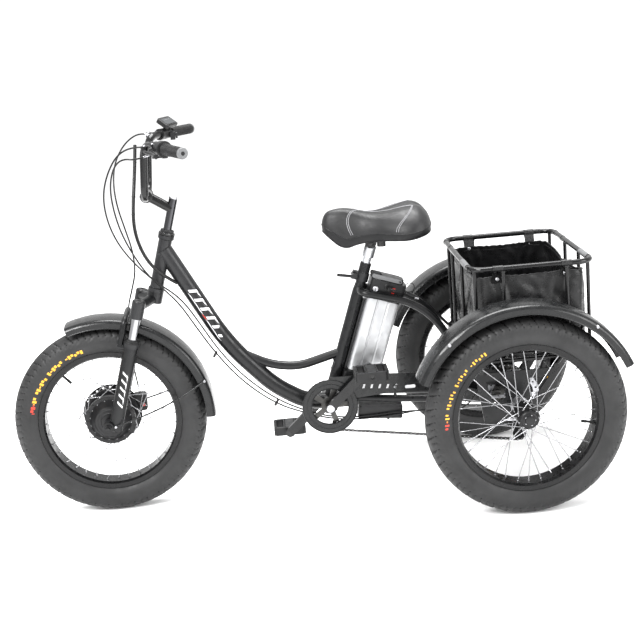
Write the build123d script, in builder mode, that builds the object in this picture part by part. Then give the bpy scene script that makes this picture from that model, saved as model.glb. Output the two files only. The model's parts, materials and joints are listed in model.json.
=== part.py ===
from build123d import *
import math
import os

os.makedirs("parts", exist_ok=True)

# Electric adult tricycle: one wheel in front, two behind, basket between the rear wheels.
# X runs along the length with the front at -X, -Y is the drive side, Z is up, millimetres.
# The origin lies on the floor under the middle of the overall length.

# ---------------------------------------------------------------- driving dimensions
wheelbase = 1204.0
track = 678.0
wheel_r = 290.0
tyre_half_width = 47.0
tyre_wall = 4.5
rim_seat_r = 205.0
rim_flange_h = 10.0
rim_half_width = 36.0
rim_flange_t = 3.3
rim_depth = 9.0
rim_wall = 2.5
spoke_r = 1.2
spokes_per_wheel = 36

head_angle_tilt = 16.4
fork_offset = 61.2
fork_length = 424.6
head_tube_length = 152.0
head_tube_r = 20.0
steerer_r = 14.3
tube_wall = 2.0
running = 0.05
seat_gap = 0.02
soft_gap = 0.4

front_centre = 664.0
bb_height = 280.0
bb_shell_r = 22.0
bb_shell_width = 73.0
bb_spindle_r = 9.0
down_tube_r = 25.0
step_tube_r = 13.5
seat_tube_tilt = 19.0
seat_tube_length = 400.0
seat_tube_r = 18.5
seat_post_r = 12.7
seat_post_top = 487.0
seat_post_insert = 200.0
upper_stay_r = 11.0
lower_stay_r = 11.0

rear_fender_r = 334.0
rear_fender_front_angle = 156.0
rear_fender_tail_angle = 24.5
front_fender_r = 320.0
front_fender_front_angle = 109.0
front_fender_tail_angle = -2.0
fender_half_width = 54.0
fender_skirt = 28.0
fender_wall = 2.5

axle_r = 10.0
cross_tube_size = 30.0
cross_tube_z = 405.0
front_cross_x = -110.0
rear_cross_x = 108.0
lower_cross_x = -88.0
lower_cross_z = -30.0
lower_cross_r = 12.0
lower_cross_half = 62.0
inner_plate_y = 22.0
outer_plate_y = 240.0
plate_t = 6.0
bearing_r = 26.0
bearing_width = 14.0

basket_front = -122.0
basket_rear = 228.0
basket_half_width = 246.0
basket_top_z = 699.0
basket_bottom_z = 428.0
basket_rail_r = 8.0
basket_post_r = 5.5
liner_wall = 3.0
liner_top_drop = 22.0

crank_length = 170.0
crank_angle = 43.0
chain_y = -50.0
chain_pitch = 12.7
chain_height = 8.0
chain_slot = 3.2
chain_plate = 1.8
chainring_teeth = 38
cassette_teeth = (32, 28, 24, 21, 18, 16, 14)
cassette_step = 4.6
sprocket_t = 2.0
roller_r = 4.1
pulley_r = 20.0

bar_r = 11.1
grip_r = 16.0
grip_length = 125.0

battery_width = 76.0
battery_depth = 100.0
battery_back = 76.0
battery_low = 112.0
battery_high = 356.0
battery_cap_h = 66.0

# ---------------------------------------------------------------- frame of reference
overall_length = wheel_r + wheelbase + rear_fender_r * math.cos(math.radians(rear_fender_tail_angle))
front_axle = Vector(wheel_r - overall_length / 2, 0, wheel_r)
rear_axle = front_axle + Vector(wheelbase, 0, 0)
bb = Vector(front_axle.X + front_centre, 0, bb_height)
Y_DIR = Vector(0, 1, 0)

_tilt = math.radians(head_angle_tilt)
steer_up = Vector(math.sin(_tilt), 0, math.cos(_tilt))
steer_fwd = Vector(-math.cos(_tilt), 0, math.sin(_tilt))
head_base = front_axle - steer_fwd * fork_offset + steer_up * fork_length

_lean = math.radians(seat_tube_tilt)
seat_up = Vector(math.sin(_lean), 0, math.cos(_lean))
seat_back = Vector(math.cos(_lean), 0, -math.sin(_lean))


def on_steer(up, fwd=0.0, side=0.0):
    """Point measured along the steering axis from the bottom of the head tube."""
    return head_base + steer_up * up + steer_fwd * fwd + Y_DIR * side


def on_seat(up, back=0.0, side=0.0):
    """Point measured along the seat tube from the bottom bracket."""
    return bb + seat_up * up + seat_back * back + Y_DIR * side


def from_rear(x, y, z):
    """Point measured from the rear axle's middle."""
    return rear_axle + Vector(x, y, z)


def steer_plane(up, fwd=0.0, side=0.0):
    return Plane(origin=on_steer(up, fwd, side), x_dir=steer_fwd, z_dir=steer_up)


def seat_plane(up, back=0.0, side=0.0):
    return Plane(origin=on_seat(up, back, side), x_dir=seat_back, z_dir=seat_up)


def section_plane(centre):
    """Half-section plane of a wheel: local x is Y, local y is the radius."""
    return Plane(origin=centre, x_dir=(0, 1, 0), z_dir=(1, 0, 0))


def side_plane(origin):
    """Upright plane seen from -Y: local x is X, local y is Z, extrusions go to -Y."""
    return Plane(origin=origin, x_dir=(1, 0, 0), z_dir=(0, -1, 0))


def spin_axis(centre):
    return Axis(centre, (0, 1, 0))


def pitch_radius(teeth):
    return chain_pitch / (2 * math.sin(math.pi / teeth))


# ---------------------------------------------------------------- shared builders
def tangent_radii(points, share=0.45):
    """Arc radius for each corner: as large as its two straight runs allow."""
    radii = []
    for a, b, c in zip(points, points[1:], points[2:]):
        run_in, run_out = Vector(b) - Vector(a), Vector(c) - Vector(b)
        half_turn = math.radians(run_in.get_angle(run_out)) / 2
        radii.append(share * min(run_in.length, run_out.length) / math.tan(half_turn))
    return radii


def swept_tube(points, outer_r, wall=0.0, radii=None):
    """Round tube along straight runs joined by tangent arcs."""
    with BuildPart() as tube:
        with BuildLine() as path:
            if len(points) == 2:
                Line(*points)
            else:
                FilletPolyline(*points, radius=radii or tangent_radii(points))
        with BuildSketch(Plane(origin=path.wire() @ 0, z_dir=path.wire() % 0)):
            Circle(outer_r)
            if wall:
                Circle(outer_r - wall, mode=Mode.SUBTRACT)
        sweep(path=path.wire())
    return tube.part


def rod(start, end, r, mode=Mode.ADD):
    """Solid round bar between two points, added to or cut from the current part."""
    start, end = Vector(start), Vector(end)
    with BuildPart() as bar:
        with BuildSketch(Plane(origin=start, z_dir=end - start)):
            Circle(r)
        extrude(amount=(end - start).length)
    add(bar.part, mode=mode)


def tyre_solid(centre):
    """Hollow fat tyre with straight beads, round sidewalls and a shallow crown."""
    w, bead_y = tyre_half_width, rim_half_width - rim_flange_t - 0.2
    flange_top = rim_seat_r + rim_flange_h
    shoulder_y, shoulder_r = w * 0.87, wheel_r - 20
    mid_r = (flange_top + shoulder_r) / 2
    with BuildPart() as tyre:
        with BuildSketch(section_plane(centre)):
            with BuildLine():
                Polyline((-bead_y, rim_seat_r), (-bead_y, flange_top + 1.2), (-bead_y - 4, flange_top + 1.7))
                ThreePointArc((-bead_y - 4, flange_top + 1.7), (-w, mid_r), (-shoulder_y, shoulder_r))
                ThreePointArc((-shoulder_y, shoulder_r), (0, wheel_r), (shoulder_y, shoulder_r))
                ThreePointArc((shoulder_y, shoulder_r), (w, mid_r), (bead_y + 4, flange_top + 1.7))
                Polyline((bead_y + 4, flange_top + 1.7), (bead_y, flange_top + 1.2), (bead_y, rim_seat_r))
                t = tyre_wall
                Polyline((bead_y, rim_seat_r), (bead_y - t, rim_seat_r), (bead_y - t, flange_top + 2))
                inner = (bead_y - t, flange_top + 2)
                inner_top = (shoulder_y - t, shoulder_r - t / 2)
                ThreePointArc(inner, (w - t, mid_r), inner_top)
                ThreePointArc(inner_top, (0, wheel_r - t - 1.5), (-inner_top[0], inner_top[1]))
                ThreePointArc((-inner_top[0], inner_top[1]), (-w + t, mid_r), (-inner[0], inner[1]))
                Polyline((-inner[0], inner[1]), (-inner[0], rim_seat_r), (-bead_y, rim_seat_r))
            make_face()
        revolve(axis=spin_axis(centre))
    return tyre.part


def rim_solid(centre):
    """Double-wall rim: a closed box below the bead seat and two side flanges."""
    w, seat, f = rim_half_width, rim_seat_r, rim_flange_t
    with BuildPart() as rim:
        with BuildSketch(section_plane(centre)):
            with BuildLine():
                Polyline(
                    (-w, seat + rim_flange_h), (-w + f, seat + rim_flange_h), (-w + f, seat),
                    (w - f, seat), (w - f, seat + rim_flange_h), (w, seat + rim_flange_h),
                    (w, seat - 4), (w - 8, seat - rim_depth), (-w + 8, seat - rim_depth), (-w, seat - 4),
                    (-w, seat + rim_flange_h),
                )
            make_face()
            with Locations((0, seat - rim_depth / 2)):
                Rectangle(2 * (w - 8), rim_depth - 2 * rim_wall, mode=Mode.SUBTRACT)
        revolve(axis=spin_axis(centre))
    return rim.part


def spoke_planes(centre, flange_y, flange_r, first_angle, count):
    """Start planes of one flange's spokes, which cross in pairs, and their length."""
    planes = []
    length = 0.0
    for i in range(count):
        way = 1 if i % 2 else -1
        hub_angle = math.radians(first_angle + i * 360 / count)
        rim_angle = hub_angle + way * math.radians(60)
        head_y = flange_y + way * 3.0
        start = centre + Vector(flange_r * math.cos(hub_angle), head_y, flange_r * math.sin(hub_angle))
        reach = rim_seat_r - rim_depth
        tip_y = math.copysign(5.0, flange_y) + way * 1.6
        end = centre + Vector(reach * math.cos(rim_angle), tip_y, reach * math.sin(rim_angle))
        planes.append(Plane(origin=start, z_dir=end - start))
        length = max(length, (end - start).length)
    return planes, length


def spoke_set(centre, flanges):
    """All spokes of a wheel; flanges lists the offset and the spoke circle of each side."""
    with BuildPart() as spokes:
        for n, (flange_y, flange_r) in enumerate(flanges):
            count = spokes_per_wheel // 2
            planes, length = spoke_planes(centre, flange_y, flange_r, n * 10.0, count)
            with BuildSketch(*planes):
                Circle(spoke_r)
            extrude(amount=length)
    return spokes.part


def fender_shell(centre, outer_r, start_angle, end_angle, inset=0.0):
    """Domed mudguard with side skirts, swept round the axle between two angles."""
    w, h, t = fender_half_width - inset, outer_r - inset, fender_wall
    with BuildPart() as shell:
        with BuildSketch(section_plane(centre)):
            with BuildLine():
                low = outer_r - fender_skirt
                Polyline((-w, low), (-w, h - 13))
                ThreePointArc((-w, h - 13), (-w + 5, h - 6), (-w + 14, h - 2.5))
                ThreePointArc((-w + 14, h - 2.5), (0, h), (w - 14, h - 2.5))
                ThreePointArc((w - 14, h - 2.5), (w - 5, h - 6), (w, h - 13))
                Polyline((w, h - 13), (w, low), (w - t, low), (w - t, h - 14))
                ThreePointArc((w - t, h - 14), (w - 7, h - 8.5), (w - 15, h - 5))
                ThreePointArc((w - 15, h - 5), (0, h - t), (-w + 15, h - 5))
                ThreePointArc((-w + 15, h - 5), (-w + 7, h - 8.5), (-w + t, h - 14))
                Polyline((-w + t, h - 14), (-w + t, low), (-w, low))
            make_face()
        revolve(axis=Axis(centre, (0, -1, 0)), revolution_arc=start_angle - end_angle)
    return shell.part.rotate(Axis(centre, (0, -1, 0)), end_angle - 90)


def sprocket(y, teeth, bore_r):
    """Toothed disc: roller seats cut round the pitch circle."""
    pitch_r = pitch_radius(teeth)
    with BuildSketch(side_plane(Vector(0, y + sprocket_t / 2, 0))) as disc:
        Circle(pitch_r + 3.4)
        with PolarLocations(pitch_r, teeth):
            Circle(roller_r, mode=Mode.SUBTRACT)
        Circle(bore_r, mode=Mode.SUBTRACT)
    return disc.sketch


def brake_rotor(centre, y, r):
    """Flat ring disc with six arms and a bolt circle."""
    with BuildPart() as rotor:
        with BuildSketch(side_plane(centre + Y_DIR * (y + rotor_t / 2))):
            Circle(r)
            Circle(r - 17, mode=Mode.SUBTRACT)
            Circle(26)
            with PolarLocations((r - 17 + 20) / 2, 6):
                Rectangle(r - 14, 9)
            with PolarLocations(r - 8, 24):
                Circle(3, mode=Mode.SUBTRACT)
            with PolarLocations(22, 6):
                Circle(2.5, mode=Mode.SUBTRACT)
        extrude(amount=rotor_t)
    return rotor.part


def save(builder, name):
    builder.part.label = name
    export_step(builder.part, f"parts/{name}.step")


# ---------------------------------------------------------------- main frame
with BuildPart() as head_tube:
    with BuildSketch(steer_plane(0)):
        Circle(head_tube_r)
        Circle(steerer_r + 3, mode=Mode.SUBTRACT)
    extrude(amount=head_tube_length)
    for cup_base in (-10.0 - seat_gap, head_tube_length + seat_gap):
        with BuildSketch(steer_plane(cup_base)):
            Circle(head_tube_r + 4)
            Circle(steerer_r + running, mode=Mode.SUBTRACT)
        extrude(amount=10.0)
save(head_tube, "head_tube")

down_tube_joint = 118.0
down_tube_path = [
    on_steer(down_tube_joint), bb + Vector(-293, 0, 210), bb + Vector(-163, 0, 65),
    bb + Vector(-73, 0, 8), bb + Vector(0, 0, -1),
]
with BuildPart() as down_tube:
    add(swept_tube(down_tube_path, down_tube_r, tube_wall))
    rod(on_steer(-60), on_steer(head_tube_length + 60), head_tube_r, Mode.SUBTRACT)
    rod(bb - Y_DIR * 60, bb + Y_DIR * 60, bb_shell_r, Mode.SUBTRACT)
    rod(on_seat(0), on_seat(80), seat_tube_r, Mode.SUBTRACT)
save(down_tube, "down_tube")

step_tube_path = [
    bb + Vector(-268, 0, 184), bb + Vector(-168, 0, 131), bb + Vector(-83, 0, 117), on_seat(161.0),
]
with BuildPart() as step_tube:
    add(swept_tube(step_tube_path, step_tube_r, tube_wall))
    add(swept_tube(down_tube_path, down_tube_r), mode=Mode.SUBTRACT)
    rod(on_seat(0), on_seat(seat_tube_length), seat_tube_r, Mode.SUBTRACT)
    keep = step_tube.solids().sort_by(SortBy.VOLUME)[-1]
    add(keep, mode=Mode.REPLACE)
save(step_tube, "step_tube")

collar_h = 26.0
neck_r = 15.5
neck_from = seat_tube_length - 45.0
lug_back = -(neck_r + 4)
boot_r = 17.0
boot_ribs = 6
boot_rib_h = 5.0
with BuildPart() as seat_tube:
    with BuildSketch(Plane.XZ.offset(-bb_shell_width / 2)):
        with Locations((bb.X, bb.Z)):
            Circle(bb_shell_r)
            Circle(bb_spindle_r + running, mode=Mode.SUBTRACT)
    extrude(amount=bb_shell_width)
    with BuildSketch(seat_plane(bb_shell_r - 4)):
        Circle(seat_tube_r)
    extrude(amount=neck_from - bb_shell_r + 4)
    with BuildSketch(seat_plane(neck_from)):
        Circle(seat_tube_r)
    with BuildSketch(seat_plane(neck_from + 24)):
        Circle(neck_r)
    loft()
    with BuildSketch(seat_plane(neck_from + 24)):
        Circle(neck_r)
    extrude(amount=seat_tube_length - neck_from - 24)
    rod(on_seat(bb_shell_r + 8), on_seat(seat_tube_length + 50), seat_post_r + running, Mode.SUBTRACT)
    with BuildSketch(seat_plane(seat_tube_length + seat_gap - collar_h / 2)):
        Circle(neck_r + 4)
        Circle(neck_r + seat_gap, mode=Mode.SUBTRACT)
    extrude(amount=collar_h)
    with BuildSketch(seat_plane(seat_tube_length + seat_gap + collar_h / 2 - 4)):
        Circle(neck_r + 4)
        Circle(seat_post_r + 0.4, mode=Mode.SUBTRACT)
    extrude(amount=4)
    for side in (-1, 1):
        with BuildSketch(seat_plane(seat_tube_length + seat_gap - collar_h / 2, lug_back - 4, side * 6)):
            Rectangle(18, 7)
        extrude(amount=collar_h)
    rod(on_seat(seat_tube_length, lug_back - 6, -20), on_seat(seat_tube_length, lug_back - 6, 20),
        3 + running, Mode.SUBTRACT)
    for ring in range(boot_ribs):
        low = seat_tube_length + collar_h / 2 + 1 + ring * boot_rib_h
        for start, height, r in ((low, boot_rib_h, boot_r - 1.2), (low + 1, boot_rib_h - 2, boot_r)):
            with BuildSketch(seat_plane(start)):
                Circle(r)
                Circle(seat_post_r + running, mode=Mode.SUBTRACT)
            extrude(amount=height)
save(seat_tube, "seat_tube")

upper_stay_path = [
    on_seat(364, 0, 6), on_seat(360, 4, 52), bb + Vector(302, 66, 292),
    from_rear(front_cross_x - 16, 84, cross_tube_z - 13 - wheel_r),
]
lower_stay_path = [
    bb + Vector(6, 26, 6), bb + Vector(96, 30, 10), bb + Vector(182, 44, 2),
    from_rear(lower_cross_x, 48, lower_cross_z),
]
with BuildPart() as rear_stays:
    add(swept_tube(upper_stay_path, upper_stay_r, tube_wall))
    add(swept_tube(lower_stay_path, lower_stay_r, tube_wall))
    mirror(about=Plane.XZ)
    rod(on_seat(-40), on_seat(seat_tube_length), seat_tube_r, Mode.SUBTRACT)
    rod(bb - Y_DIR * 60, bb + Y_DIR * 60, bb_shell_r, Mode.SUBTRACT)
    rod(from_rear(lower_cross_x, -200, lower_cross_z), from_rear(lower_cross_x, 200, lower_cross_z),
        lower_cross_r, Mode.SUBTRACT)
    with BuildSketch(side_plane(from_rear(front_cross_x, 200, cross_tube_z - wheel_r))):
        Rectangle(cross_tube_size, cross_tube_size)
    extrude(amount=400, mode=Mode.SUBTRACT)
    stays = rear_stays.solids().sort_by(SortBy.VOLUME)[-4:]
    add(stays, mode=Mode.REPLACE)
save(rear_stays, "rear_stays")

cross_half = outer_plate_y + plate_t / 2
plate_top = cross_tube_z - cross_tube_size / 2 - wheel_r
rotor_y = -150.0
rotor_r = 80.0
rotor_t = 2.0
caliper_at = (-58.0, 60.0)
with BuildPart() as rear_subframe:
    for cx in (front_cross_x, rear_cross_x):
        with BuildSketch(side_plane(from_rear(cx, cross_half, cross_tube_z - wheel_r))):
            RectangleRounded(cross_tube_size, cross_tube_size, 4)
            RectangleRounded(cross_tube_size - 2 * tube_wall, cross_tube_size - 2 * tube_wall, 2,
                             mode=Mode.SUBTRACT)
        extrude(amount=2 * cross_half)
    with BuildSketch(side_plane(from_rear(lower_cross_x, lower_cross_half, lower_cross_z))):
        Circle(lower_cross_r)
        Circle(lower_cross_r - tube_wall, mode=Mode.SUBTRACT)
    extrude(amount=2 * lower_cross_half)
    for y in (-outer_plate_y, -inner_plate_y, inner_plate_y, outer_plate_y):
        with BuildSketch(side_plane(from_rear(0, y + plate_t / 2, 0))):
            with BuildLine():
                Polyline((front_cross_x - 14, plate_top + 3), (rear_cross_x + 14, plate_top + 3), (38, -34),
                         (-30, -40), (lower_cross_x - 15, lower_cross_z - 14),
                         (front_cross_x - 14, plate_top + 3))
            make_face()
            Circle(bearing_r, mode=Mode.SUBTRACT)
            with BuildLine():
                Polyline((-94, 78), (-38, 78), (-38, 24), (-72, 0), (-94, 78))
            make_face(mode=Mode.SUBTRACT)
            with BuildLine():
                Polyline((34, 78), (92, 78), (40, 8), (34, 78))
            make_face(mode=Mode.SUBTRACT)
        extrude(amount=plate_t)
    with BuildSketch(side_plane(from_rear(0, rotor_y - 15 - seat_gap, 0))):
        with BuildLine():
            Polyline((front_cross_x - 14, plate_top + 2), (front_cross_x + 14, plate_top + 2),
                     (-40, 82), (-44, 44), (-78, 46), (front_cross_x - 14, plate_top + 2))
        make_face()
    extrude(amount=6)
    for y in (-outer_plate_y, -inner_plate_y, inner_plate_y, outer_plate_y):
        with BuildSketch(side_plane(from_rear(0, y + bearing_width / 2, 0))):
            Circle(bearing_r - seat_gap)
            Circle(axle_r + running, mode=Mode.SUBTRACT)
        extrude(amount=bearing_width)
save(rear_subframe, "rear_subframe")

# ---------------------------------------------------------------- basket
basket_corner = 42.0
basket_mid = (basket_front + basket_rear) / 2
basket_length = basket_rear - basket_front
post_x = (basket_front + 1, -30.0, 152.0, basket_rear - 14)


def basket_ring(z, corner):
    """Closed tubular rectangle lying flat at one height."""
    with BuildPart() as ring:
        centre = Plane(origin=from_rear(basket_mid, 0, z - wheel_r))
        with BuildLine(centre) as loop:
            Polyline(
                (-basket_length / 2, -basket_half_width), (basket_length / 2, -basket_half_width),
                (basket_length / 2, basket_half_width), (-basket_length / 2, basket_half_width), close=True)
            fillet(loop.vertices(), corner)
        start = from_rear(basket_mid, -basket_half_width, z - wheel_r)
        with BuildSketch(Plane(origin=start, z_dir=(1, 0, 0))):
            Circle(basket_rail_r)
        sweep(path=loop.wire())
    return ring.part


with BuildPart() as basket_frame:
    for z, corner in ((basket_top_z, basket_corner), (basket_bottom_z, basket_corner)):
        add(basket_ring(z, corner))
    for side in (-1, 1):
        for x in post_x[1:3]:
            rod(from_rear(x, side * basket_half_width, basket_bottom_z - wheel_r),
                from_rear(x, side * basket_half_width, basket_top_z - wheel_r), basket_post_r)
        for x in (basket_front + 12, basket_rear - 12):
            rod(from_rear(x, side * (basket_half_width - 12), basket_bottom_z - wheel_r),
                from_rear(x, side * (basket_half_width - 12), basket_top_z - wheel_r), basket_post_r)
    for y in (-82.0, 82.0):
        for x in (basket_front, basket_rear):
            rod(from_rear(x, y, basket_bottom_z - wheel_r), from_rear(x, y, basket_top_z - wheel_r),
                basket_post_r)
        rod(from_rear(basket_front, y, basket_bottom_z - wheel_r),
            from_rear(basket_rear, y, basket_bottom_z - wheel_r), basket_post_r - 1)
    for x in (-30.0, 62.0, 152.0):
        rod(from_rear(x, -basket_half_width, basket_bottom_z - wheel_r),
            from_rear(x, basket_half_width, basket_bottom_z - wheel_r), basket_post_r - 1)
save(basket_frame, "basket_frame")

liner_inset = basket_rail_r + 8.0
liner_low = basket_bottom_z + basket_post_r + soft_gap
liner_high = basket_top_z - liner_top_drop
with BuildPart() as basket_liner:
    liner_plane = Plane(origin=from_rear(basket_mid, 0, liner_low - wheel_r))
    liner_x = basket_length - 2 * liner_inset
    liner_y = 2 * (basket_half_width - liner_inset)
    with BuildSketch(liner_plane):
        RectangleRounded(liner_x, liner_y, 26)
    extrude(amount=liner_high - liner_low)
    with BuildSketch(liner_plane.offset(liner_wall)):
        RectangleRounded(liner_x - 2 * liner_wall, liner_y - 2 * liner_wall, 23)
    extrude(amount=liner_high - liner_low, mode=Mode.SUBTRACT)
save(basket_liner, "basket_liner")

# ---------------------------------------------------------------- rear mudguards
strut_ends = ((front_cross_x, 133.0), (rear_cross_x, 51.0))
strut_y = basket_half_width + basket_rail_r + 8
with BuildPart() as rear_fenders:
    for side in (-1, 1):
        centre = rear_axle + Y_DIR * (side * track / 2)
        add(fender_shell(centre, rear_fender_r, rear_fender_front_angle, rear_fender_tail_angle))
        skirt_y = side * (track / 2 - fender_half_width)
        for cx, angle in strut_ends:
            reach = rear_fender_r - 17
            a = math.radians(angle)
            knee = from_rear(reach * math.cos(a), skirt_y, reach * math.sin(a))
            foot = from_rear(cx, side * strut_y, cross_tube_z - wheel_r)
            rod(from_rear(cx, side * (cross_half + seat_gap), cross_tube_z - wheel_r),
                foot + Y_DIR * (side * 6), 8.0)
            rod(foot, knee - Y_DIR * (side * 9), 5.0)
            rod(knee - Y_DIR * (side * 14), knee + Y_DIR * (side * 1.2), 8.0)
save(rear_fenders, "rear_fenders")

# ---------------------------------------------------------------- fork and front wheel
leg_fwd = 41.0
leg_side = 80.0
stanchion_r = 14.0
leg_r = 21.0
crown_bottom = -84.0
crown_top = -34.0
leg_top = -160.0
leg_bottom = -432.0
fork_travel = 40.0

with BuildPart() as fork_crown:
    with BuildSketch(steer_plane(-34)):
        Circle(steerer_r)
        Circle(steerer_r - 2.5, mode=Mode.SUBTRACT)
    extrude(amount=head_tube_length + 34 + 24)
    with BuildSketch(steer_plane(-44)):
        Circle(24)
    extrude(amount=33.6)
    for side in (-1, 1):
        rod(on_steer(-30), on_steer(-50, leg_fwd, side * (leg_side - 4)), 15.5)
        with BuildSketch(steer_plane(crown_bottom, leg_fwd, side * leg_side)):
            Circle(stanchion_r + 6)
        extrude(amount=crown_top - crown_bottom)
        with BuildSketch(steer_plane(crown_bottom, leg_fwd, side * leg_side)):
            Circle(stanchion_r)
        extrude(amount=crown_top - crown_bottom - 6, mode=Mode.SUBTRACT)
    with BuildSketch(steer_plane(head_tube_length + 10 + 3 * seat_gap)):
        RegularPolygon(20, 6)
        Circle(steerer_r + seat_gap, mode=Mode.SUBTRACT)
    extrude(amount=11)
save(fork_crown, "fork_crown")

stanchion_low = leg_top - 70.0
with BuildPart() as stanchions:
    for side in (-1, 1):
        with BuildSketch(steer_plane(stanchion_low, leg_fwd, side * leg_side)):
            Circle(stanchion_r)
            Circle(stanchion_r - 3, mode=Mode.SUBTRACT)
        extrude(amount=crown_top - 6 - seat_gap - stanchion_low)
save(stanchions, "stanchions")

bore_low = stanchion_low - fork_travel - 5
lug_inner = leg_side - leg_r
lug_outer = leg_side + leg_r
front_rotor_y = 52.0
front_axle_bolt_r = 6.0
front_caliper_at = front_axle + Vector(88, 0, 28)
arch_fwd = 73.0
arch_r = 9.0
arch_clear = front_fender_r + arch_r + seat_gap
arch_top = math.sqrt(arch_clear ** 2 - (arch_fwd - fork_offset) ** 2) - fork_length
with BuildPart() as fork_lowers:
    for side in (-1, 1):
        with BuildSketch(steer_plane(leg_bottom, leg_fwd, side * leg_side)):
            Circle(leg_r)
        extrude(amount=leg_top - leg_bottom)
        with BuildSketch(steer_plane(leg_top - 14, leg_fwd, side * leg_side)):
            Circle(leg_r + 2.5)
        extrude(amount=14)
        with BuildSketch(side_plane(front_axle + Y_DIR * (side * leg_side + leg_r))):
            Circle(15)
        extrude(amount=2 * leg_r)
        rod(on_steer(-fork_length, fork_offset, side * leg_side),
            on_steer(-fork_length, leg_fwd, side * leg_side), 15)
    arch = [
        on_steer(leg_top - 18, arch_fwd, -leg_side), on_steer(arch_top, arch_fwd, -leg_side + 12),
        on_steer(arch_top, arch_fwd, leg_side - 12), on_steer(leg_top - 18, arch_fwd, leg_side),
    ]
    add(swept_tube(arch, arch_r, radii=[22.0, 22.0]))
    for side in (-1, 1):
        rod(on_steer(leg_top - 18, leg_fwd, side * leg_side),
            on_steer(leg_top - 18, arch_fwd + 8, side * leg_side), 9)
    with BuildSketch(Plane.XZ.offset(-70)):
        with Locations((front_caliper_at.X - 42, front_caliper_at.Z)):
            Rectangle(42, 34)
    extrude(amount=8)
    for side in (-1, 1):
        with BuildSketch(steer_plane(bore_low, leg_fwd, side * leg_side)):
            Circle(stanchion_r + running)
        extrude(amount=leg_top - bore_low + 1, mode=Mode.SUBTRACT)
    rod(front_axle - Y_DIR * 140, front_axle + Y_DIR * 140, front_axle_bolt_r, Mode.SUBTRACT)
save(fork_lowers, "fork_lowers")

with BuildPart() as front_axle_bolt:
    with BuildSketch(side_plane(front_axle + Y_DIR * 124)):
        Circle(front_axle_bolt_r)
    extrude(amount=248)
    for side in (-1, 1):
        with BuildSketch(side_plane(front_axle + Y_DIR * (side * (lug_outer + 6) + 6))):
            RegularPolygon(11, 6)
        extrude(amount=12)
        rod(front_axle + Y_DIR * (side * lug_inner), front_axle + Y_DIR * (side * (front_rotor_y + 1.5)), 10)
save(front_axle_bolt, "front_axle")

with BuildPart() as front_caliper:
    with BuildSketch(side_plane(Vector(front_caliper_at.X, front_rotor_y + 14, front_caliper_at.Z))):
        RectangleRounded(42, 54, 9)
    extrude(amount=28)
    with BuildSketch(side_plane(front_axle + Y_DIR * (front_rotor_y + 3))):
        Circle(94)
    extrude(amount=6, mode=Mode.SUBTRACT)
save(front_caliper, "front_caliper")

fender_stay_r = 2.5
with BuildPart() as front_fender:
    add(fender_shell(front_axle, front_fender_r, front_fender_front_angle, front_fender_tail_angle))
    for side in (-1, 1):
        stay = [
            front_axle + Vector(22, side * (lug_outer + fender_stay_r + seat_gap), 2),
            front_axle + Vector(130, side * 88, 30), front_axle + Vector(220, side * 66, 62),
            front_axle + Vector(294, side * (fender_half_width + fender_stay_r + seat_gap), 104),
        ]
        add(swept_tube(stay, fender_stay_r))
save(front_fender, "front_fender")

near_flange = (-14.0, 72.0)
far_flange = (24.0, 80.0)
with BuildPart() as front_hub_motor:
    with BuildSketch(section_plane(front_axle)):
        with BuildLine():
            b = front_axle_bolt_r + running
            Polyline((-50, b), (-50, 44), (-46, 48), (-25, 64), (-25, 75), (-11, 75), (-11, 70), (21, 70),
                     (21, 84), (27, 84), (27, 72), (38, 62), (46, 40), (front_rotor_y - 1 - seat_gap, 30),
                     (front_rotor_y - 1 - seat_gap, b), (-50, b))
        make_face()
    revolve(axis=spin_axis(front_axle))
    with BuildSketch(side_plane(front_axle - Y_DIR * (25 - seat_gap))):
        with PolarLocations(69.5, 16):
            Circle(2.6)
    extrude(amount=3.5)
    add(brake_rotor(front_axle, front_rotor_y, 90.0))
    rod(front_axle - Y_DIR * 60, front_axle + Y_DIR * 60, front_axle_bolt_r + running, Mode.SUBTRACT)
save(front_hub_motor, "front_hub_motor")

with BuildPart() as front_spokes:
    add(spoke_set(front_axle, (near_flange, far_flange)))
save(front_spokes, "front_spokes")

with BuildPart() as front_rim:
    add(rim_solid(front_axle))
save(front_rim, "front_rim")

with BuildPart() as front_tyre:
    add(tyre_solid(front_axle))
save(front_tyre, "front_tyre")

# ---------------------------------------------------------------- rear wheels
hub_flange_y = 28.0
hub_flange_r = 33.0
for side, which in ((-1, "near"), (1, "far")):
    centre = rear_axle + Y_DIR * (side * track / 2)
    with BuildPart() as rear_hub:
        with BuildSketch(section_plane(centre)):
            with BuildLine():
                f, r = hub_flange_y, hub_flange_r
                cap = side * 50.0
                Polyline((-side * f - side * 8, 0), (-side * f - side * 8, 24), (-side * f - side * 2, 24),
                         (-side * f - side * 2, r), (-side * f + side * 2, r), (-side * f + side * 2, 20),
                         (side * f - side * 2, 20), (side * f - side * 2, r), (side * f + side * 2, r),
                         (side * f + side * 2, 26), (cap - side * 3, 26), (cap, 23), (cap, 0),
                         (-side * f - side * 8, 0))
            make_face()
        revolve(axis=spin_axis(centre))
        shaft_end = side * (inner_plate_y - bearing_width / 2 - 1)
        rod(from_rear(0, shaft_end, 0), from_rear(0, side * (track / 2 - f - 2), 0), axle_r)
        if side < 0:
            add(brake_rotor(rear_axle, rotor_y, rotor_r))
    save(rear_hub, f"rear_hub_{which}")
    with BuildPart() as rear_spokes:
        add(spoke_set(centre, ((-hub_flange_y, hub_flange_r - 4), (hub_flange_y, hub_flange_r - 4))))
    save(rear_spokes, f"rear_spokes_{which}")
    with BuildPart() as rear_rim:
        add(rim_solid(centre))
    save(rear_rim, f"rear_rim_{which}")
    with BuildPart() as rear_tyre:
        add(tyre_solid(centre))
    save(rear_tyre, f"rear_tyre_{which}")

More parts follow.
